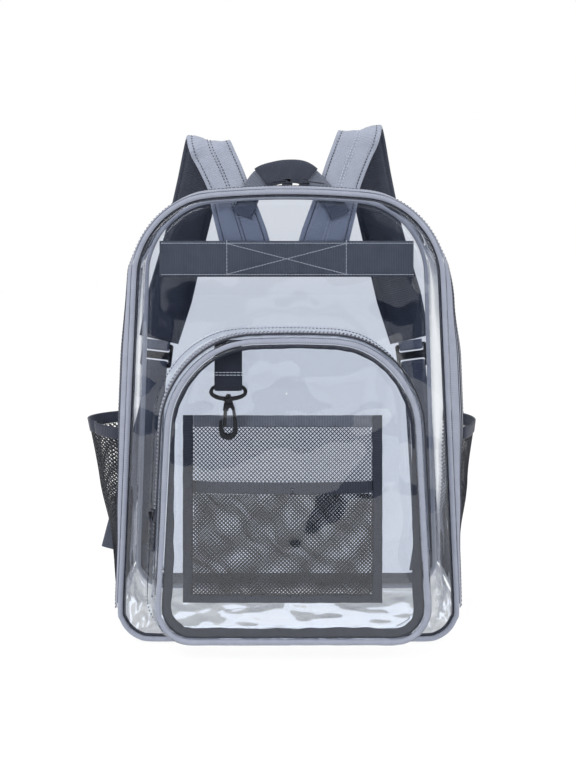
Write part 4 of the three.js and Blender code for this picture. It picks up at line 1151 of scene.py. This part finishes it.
def flat_webbing(name, middles, across, width, thickness, node, material):
    """Flat strap along middle points, with rounded edges: a row of points on each face."""
    middles = np.asarray(middles, float)
    along = unit(np.gradient(middles, axis=0))
    side = unit(np.asarray(across, float) * np.ones_like(middles))
    side = unit(side - along * np.sum(side * along, -1, keepdims=True))
    up = np.cross(side, along)
    share = np.linspace(-1, 1, 9)
    thin = 0.5 * (1 - 0.65 * np.abs(share) ** 12)[None, :, None] * (
        np.asarray(thickness * np.ones(len(middles)))[:, None, None])
    flat = middles[:, None] + side[:, None] * share[:, None] * width / 2
    face = flat + up[:, None] * thin
    back = (flat - up[:, None] * thin)[:, ::-1]
    show_tubes(name, np.concatenate([face, back], 1), [node], material)


def pocket_ceiling(x, w):
    """Point of the pocket's wall left of its middle, under its film, at an x."""
    place = np.linspace(POINTS / 2, POINTS / 2 + 12, 800)
    wall = pocket_wall(place, w, -0.6)
    return rows_at(-x, -wall[:, 0], wall)


seam_left, seam_right = (pocket_ceiling(CLIP_X + half, 11) for half in (-12.5, 12.5))
sewn_y, sewn_z = ((seam_left + seam_right) / 2)[1:]
top = sewn_z - CLIP_Z
path = [[-1.2, top], [-1.2, 20], [-3, 9]] + hairpin(3.4, 1.6) + [[3, 9], [1.2, 20], [1.2, top]]
turned = curve_through([[0, y, z] for y, z in path], 90) + [CLIP_X, sewn_y, CLIP_Z]
slope = smooth(turned[:, 2], CLIP_Z + 20, sewn_z)[:, None]
across = mix(np.array([[1.0, 0, 0]]), unit(seam_right - seam_left)[None], slope)
flat_webbing("clip_webbing_loop", turned, across, WEBBING_WIDTH, WEBBING,
             "clip_webbing", clip_webbing)
front_face = turned[turned[:, 1] < sewn_y]
for name, above in (("upper", 18.2), ("lower", 15.8)):
    y = np.interp(-(CLIP_Z + above), -front_face[:, 2], front_face[:, 1]) - 0.75
    seam("clip_stitches_" + name, lambda t, y=y, z=CLIP_Z + above: xyz(
        mix(CLIP_X - 11.5, CLIP_X + 11.5, t), y, z), 0, 1, FORWARD, pitch=2.6,
        material=pale_thread)


# Side pockets: mesh gathered by an elastic hem, sewn to the gusset's two seams and at its foot.
SIDE_POCKET = dict(low=26, high=195, hem=11.5, front=22, back=8, start=6, cloth=112)
SIDE_REACH = dict(left=34, right=15)


def side_pocket_at(side, z, share, out):
    """Point of a side pocket at a height and a share from its front seam to its back seam: the
    bag's wall, and outwards from it a belly that opens towards the hem."""
    right_place = np.interp(z, bag_edge[8:22, 1], np.arange(8, 22))
    place = right_place if side == "right" else POINTS - right_place
    low, high = SIDE_POCKET["low"], SIDE_POCKET["high"]
    rise = (z - low) / (high - low)
    reach = mix(SIDE_POCKET["start"], SIDE_REACH[side], np.maximum(rise, 0) ** 1.15)
    reach = reach * smooth(rise, -0.02, 0.12)
    belly = np.maximum(0, np.sin(np.pi * np.clip(share, 0, 1))) ** 0.75
    pleat = -5.0 * np.exp(-((share - 0.27) / 0.035) ** 2) * smooth(rise, 0.05, 0.3)
    pleat = pleat * SIDE_REACH[side] / 36
    w = mix(SIDE_POCKET["front"], bag_depth(z) - SIDE_POCKET["back"], share)
    return wall_point(place, w, VINYL + 1.25 + out + reach * belly + pleat * belly)


low, high, cloth = (SIDE_POCKET[k] for k in ("low", "high", "cloth"))
hem = high - SIDE_POCKET["hem"]
for side in ("left", "right"):
    net("side_pocket_net_" + side,
        lambda a, b, up, side=side: side_pocket_at(side, low + b, a / cloth, up),
        cloth, hem - 0.3 - low, 3.1, (40, 140), ["side_pocket_mesh_" + side],
        half_width=0.95)
    z = np.linspace(hem, high, 7)[None]
    share = np.linspace(0, 1, 80)[:, None]
    face = side_pocket_at(side, z, share, 1.3)
    inside = side_pocket_at(side, z[:, ::-1], share, -0.3)
    show_tubes("side_pocket_elastic_" + side, np.concatenate([face, inside], 1),
               ["side_pocket_hem_" + side], dark_binding)


# Band across the back: wide dark webbing inside the back panel that spreads the load of the
# straps, sewn along its edges, across at the straps and in one wide cross between them.
BAND = dict(low=336, high=374, half=134)
x = np.linspace(-BAND["half"], BAND["half"], 60)
flat_webbing("back_band_webbing", xyz(x, -1.6, (BAND["low"] + BAND["high"]) / 2), (0, 0, 1),
             BAND["high"] - BAND["low"], WEBBING, "back_band", webbing)


def straight(x0, z0, x1, z1, y):
    """Straight line in a plane parallel to the back panel, from place zero to one."""
    def at(place):
        return xyz(mix(x0, x1, place), y, mix(z0, z1, place))
    return at


for name, ends in (
    ("upper", (-132, 371.5, 132, 371.5)), ("lower", (-132, 338.5, 132, 338.5)),
    ("left", (-63, 338, -63, 372)), ("right", (63, 338, 63, 372)),
    ("rising", (-62, 339, 62, 371)), ("falling", (-62, 371, 62, 339)),
):
    seam("back_band_stitches_" + name, straight(*ends, -2.35), 0, 1, FORWARD,
         material=pale_thread, pitch=3.2)

rings = strip_on(back_edge, lambda x, z: 0 * z, -12.2, -0.5, 0.9, 0.9, -7, 7, 90, 7, False)
show_tubes("back_inner_binding_tape", rings, ["back_inner_binding"], webbing)


# Shoulder straps: foam between grey woven cloth outside and dark cloth inside, bound all round
# and sewn down the middle with a zigzag. They are sewn to the back panel, fold over the top and
# hang behind the bag. The foam is too stiff to need a simulation.
STRAP_PATH = np.array([
    # x, y, height above the bag's top corners, width, tilt in degrees, share of extra height
    [36, 5.8, -61, 52, -14, 0], [46, 6.2, -26, 52, -14, 0], [56, 9.6, 6, 48, -10, 0.1],
    [63, 12.5, 30, 43, -4, 0.3], [75, 15, 57, 44, 6, 0.8], [82, 17.5, 70.5, 46, 11, 1],
    [85, 24.5, 75, 47, 12.5, 1], [88, 32, 69, 47, 13, 1], [97, 40, 33, 46, 14, 0.5],
    [111, 48, -22, 46, 13, 0], [129, 43, -92, 50, 12, 0], [140, 33, -138, 44, 8, 0],
])
STRAP_FIT = dict(left=(-1, 0, 0), right=(1, -5, 11))  # side, shift, extra height
strap_cloth = woven("grey_oxford_cloth", "9fa5b4", "8d93a2", 2.0, 2.0, 0.5, rib_shade=0.1)
lining = woven("dark_strap_lining", "3f4452", "30343f", 2.4, 2.4, 0.5, rib_shade=0.2)
PAD = 9


def strap_frame(side, shift, rise, steps):
    """Middle line, direction of the width, outward direction and width of a strap."""
    rows = STRAP_PATH
    points = xyz(side * rows[:, 0] + shift, rows[:, 1],
                 BAG["high"] + rows[:, 2] + rise * rows[:, 5])
    middle = centripetal(points, steps)
    where = np.linspace(0, len(rows) - 1, steps)
    width = np.interp(where, np.arange(len(rows)), rows[:, 3])
    tilt = np.radians(np.interp(where, np.arange(len(rows)), rows[:, 4]))
    across = xyz(side * np.cos(tilt), 0, np.sin(tilt))
    along = unit(np.gradient(middle, axis=0))
    across = unit(across - along * np.sum(across * along, -1, keepdims=True))
    return middle, across, -np.cross(along, across) * side, width


def rounded_section(count, width_power, height_power):
    """Rounded oblong from -1 to 1 each way: powers of the cosine and sine round a turn."""
    turn = np.linspace(0, 2 * np.pi, count, endpoint=False)
    return (np.sign(wave) * np.abs(wave) ** power for wave, power in (
        (np.cos(turn), width_power), (np.sin(turn), height_power)))


def row_function(rows):
    """Function that reads rows of numbers off at a place from zero to one."""
    return lambda place: rows_at(place, np.linspace(0, 1, len(rows)), rows)


for name, (side, shift, rise) in STRAP_FIT.items():
    steps = 150
    middle, across, outward, width = strap_frame(side, shift, rise, steps)
    u, v = rounded_section(48, 0.62, 0.5)
    channel = 1 - 0.30 * np.exp(-(u / 0.07) ** 2)
    pinch = 1 - 0.45 * np.exp(-((np.abs(u) - 0.80) / 0.045) ** 2)
    puff = v * channel * pinch * (1 - 0.35 * np.abs(u) ** 6)
    s = np.linspace(0, 1, steps)
    pucker = 1 + 0.05 * billow(s[:, None] * 420, u[None] * 26 + 40 * (v[None] > 0), 46, 51)
    rings = (middle[:, None] + across[:, None] * (u * width[:, None] / 2)[..., None]
             + outward[:, None] * (puff * pucker * PAD / 2)[..., None])
    mesh = loft_mesh("shoulder_strap_" + name + "_pad", rings)
    pad = show(
        "shoulder_strap_" + name + "_pad", mesh, "bag",
        ["shoulder_strap_" + name], [strap_cloth, lining])
    centres = np.empty(3 * len(mesh.polygons))
    mesh.polygons.foreach_get("center", centres)
    centres = (centres.reshape(-1, 3) - FOOT) * 1000
    nearest = np.argmin(np.linalg.norm(
        centres[:, None, (0, 2)] - middle[None, ::3][..., (0, 2)], axis=-1)
        + 2 * np.abs(centres[:, None, 1] - middle[None, ::3, 1]), axis=1) * 3
    height = np.sum((centres - middle[nearest]) * outward[nearest], -1)
    mesh.polygons.foreach_set("material_index", (height < -0.9).astype(np.int32))
    for k, (across_at, above) in enumerate(((0.80, 2.6), (-0.80, 2.6), (0.07, 3.6), (-0.07, 3.6))):
        line = middle + across * (across_at * width / 2)[:, None] + outward * above
        seam(f"strap_stitches_{name}_{k}", row_function(line), 0.01, 0.99,
             row_function(outward), pitch=3.4,
             material=thread if k < 2 or name == "left" else pale_thread)


# Ladder locks of black acetal: a tab of grey webbing holds each to its strap, and dark webbing
# runs from the corner tab up round its lower bar and hangs down loose, with a folded hem.
TAILS = dict(
    left=[(-8, 34, 200), (10, 31, 130), (28, 22, 62), (34, 19, 38)],
    right=[(-10, 34, 200), (-6, 29, 130), (-3, 22, 62), (-2, 20, 38)])
grey_webbing = woven("grey_ribbed_webbing", "6f7482", "5a5f6d", 2.4, 1.8, 0.7, rib_shade=0.2)
TAB_LOW, TAB_HIGH, TAB_X, TAB_Y, TAB_HALF = 20, 50, 149, 2.9, 0.7

for name, (side, shift, rise) in STRAP_FIT.items():
    rounded_copy("ladder_lock_" + name, "ladder_lock_" + name + "_moulded", "bag",
                 acetal, 0.8, 3)
    middle = strap_frame(side, shift, rise, 23)[0]
    end, before = middle[-1], middle[-2]
    foot = np.array([side * TAB_X, 5.0, TAB_HIGH])
    upward = unit(mix(unit(before - end), unit(end - foot), 0.6))
    backward = -unit(np.cross([1.0, 0, 0], upward))
    across = unit(np.cross(backward, upward))
    origin = end - 17 * upward

    def in_frame(rows):
        """Points of a path given as rows of y and z in the lock's own frame."""
        rows = np.asarray(rows, float)
        return origin + rows[:, :1] * backward + rows[:, 1:] * upward

    turn = hairpin(8.5, 6.25)
    tab = curve_through(in_frame([[-3, 16.3], [-3, 12]] + turn + [[3, 12], [3, 16.3]]), 50)
    flat_webbing("strap_tab_" + name + "_webbing", tab, across, WEBBING_WIDTH, WEBBING,
                 "strap_tab_" + name, grey_webbing)
    loop = in_frame([[-3, -14.5]] + [[y, -z] for y, z in turn] + [[3, -14.5]])
    tail = np.array([[side * (156 + out), y, z] for out, y, z in TAILS[name]])
    run = np.concatenate([[foot - [0, 0, 22], foot], loop, tail])
    lean = np.zeros(len(run))
    if name == "left":
        lean[len(loop) + 2:] = 0.26 * np.arange(1, len(tail) + 1) / len(tail)
    rows = curve_through(np.concatenate([run, lean[:, None] * 100], 1), 240)
    run, lean = rows[:, :3], rows[:, 3:] / 100
    from_end = np.linalg.norm(run - run[-1], axis=-1)
    hem = WEBBING + 1.5 * (1 - smooth(from_end, 11.2, 12.4)) * (run[:, 1] > 15)
    flat_webbing("adjuster_" + name + "_webbing", run, across + lean * [0, 0, 1.0],
                 WEBBING_WIDTH, hem, "adjuster_" + name, webbing)

    # Corner tab: a folded piece of the grey webbing, cut slanted and sewn into the back seam
    z = np.linspace(TAB_LOW, TAB_HIGH, 16)[:, None]
    inner = mix(-17, -12.5, (z - TAB_LOW) / (TAB_HIGH - TAB_LOW))
    outer = np.interp(z, [TAB_LOW, 32, TAB_HIGH], [9, 14, 12.5])
    share = np.linspace(0, 1, 9)[None]
    edge = 0.25 + (TAB_HALF - 0.25) * (1 - np.abs(2 * share - 1) ** 8)
    x = side * (TAB_X + mix(inner, outer, share))
    rings = np.concatenate([xyz(x, TAB_Y + edge, z), xyz(x, TAB_Y - edge, z)[:, ::-1]], 1)
    show_tubes("corner_tab_" + name + "_webbing", rings, ["corner_tab_" + name],
               grey_webbing)
    seam("corner_tab_stitches_" + name, straight(side * 136, 46, side * 161, 46, 3.65), 0, 1,
         (0, 1, 0), pitch=2.6)


# Grab handle: grey webbing sewn to the back panel, through a grip of foam in dark cloth that is
# closed by a seam along its foot.
HANDLE_PATH = np.array([
    [-47, 1.9, -3], [-44.5, 2.2, 3], [-41, 3.7, 12], [-36, 4.2, 23], [-27, 5, 36],
    [-12, 5, 41.5], [3, 5, 43.5], [17, 5, 42], [29, 4.8, 33], [42, 4, 18], [50, 3.4, 9],
    [54, 2, 2], [57, 1.9, -4]])
handle = centripetal(HANDLE_PATH + [0, 0, BAG["high"]], 180)
tangent = np.gradient(handle, axis=0)
handle_across = unit(xyz(-tangent[:, 2], 0, tangent[:, 0]))
flat_webbing("grab_handle_webbing_strap", handle, handle_across, 21, WEBBING,
             "grab_handle_webbing", grey_webbing)
GRIP = dict(left=-27, right=25, half_height=12.5, half_thick=4.5)
kept = (handle[:, 0] > GRIP["left"]) & (handle[:, 0] < GRIP["right"])
grip, grip_across = handle[kept], handle_across[kept]
along = unit(np.gradient(grip, axis=0))
outward = np.cross(along, grip_across)
u, v = rounded_section(40, 0.6, 0.55)
s = np.linspace(0, 1, len(grip))[:, None]
ends = 0.72 + 0.28 * smooth(s, 0, 0.05) * (1 - smooth(s, 0.95, 1))
pucker = 1 + 0.06 * billow(s * 52, u[None] * 14 + 30 * (v[None] > 0), 22, 71)
rings = (grip[:, None] + grip_across[:, None] * (u * GRIP["half_height"])[None, :, None]
         + outward[:, None] * (v * ends * pucker * GRIP["half_thick"])[..., None])
pad = show_tubes("grab_handle_grip_pad", rings, ["grab_handle_grip"], lining)
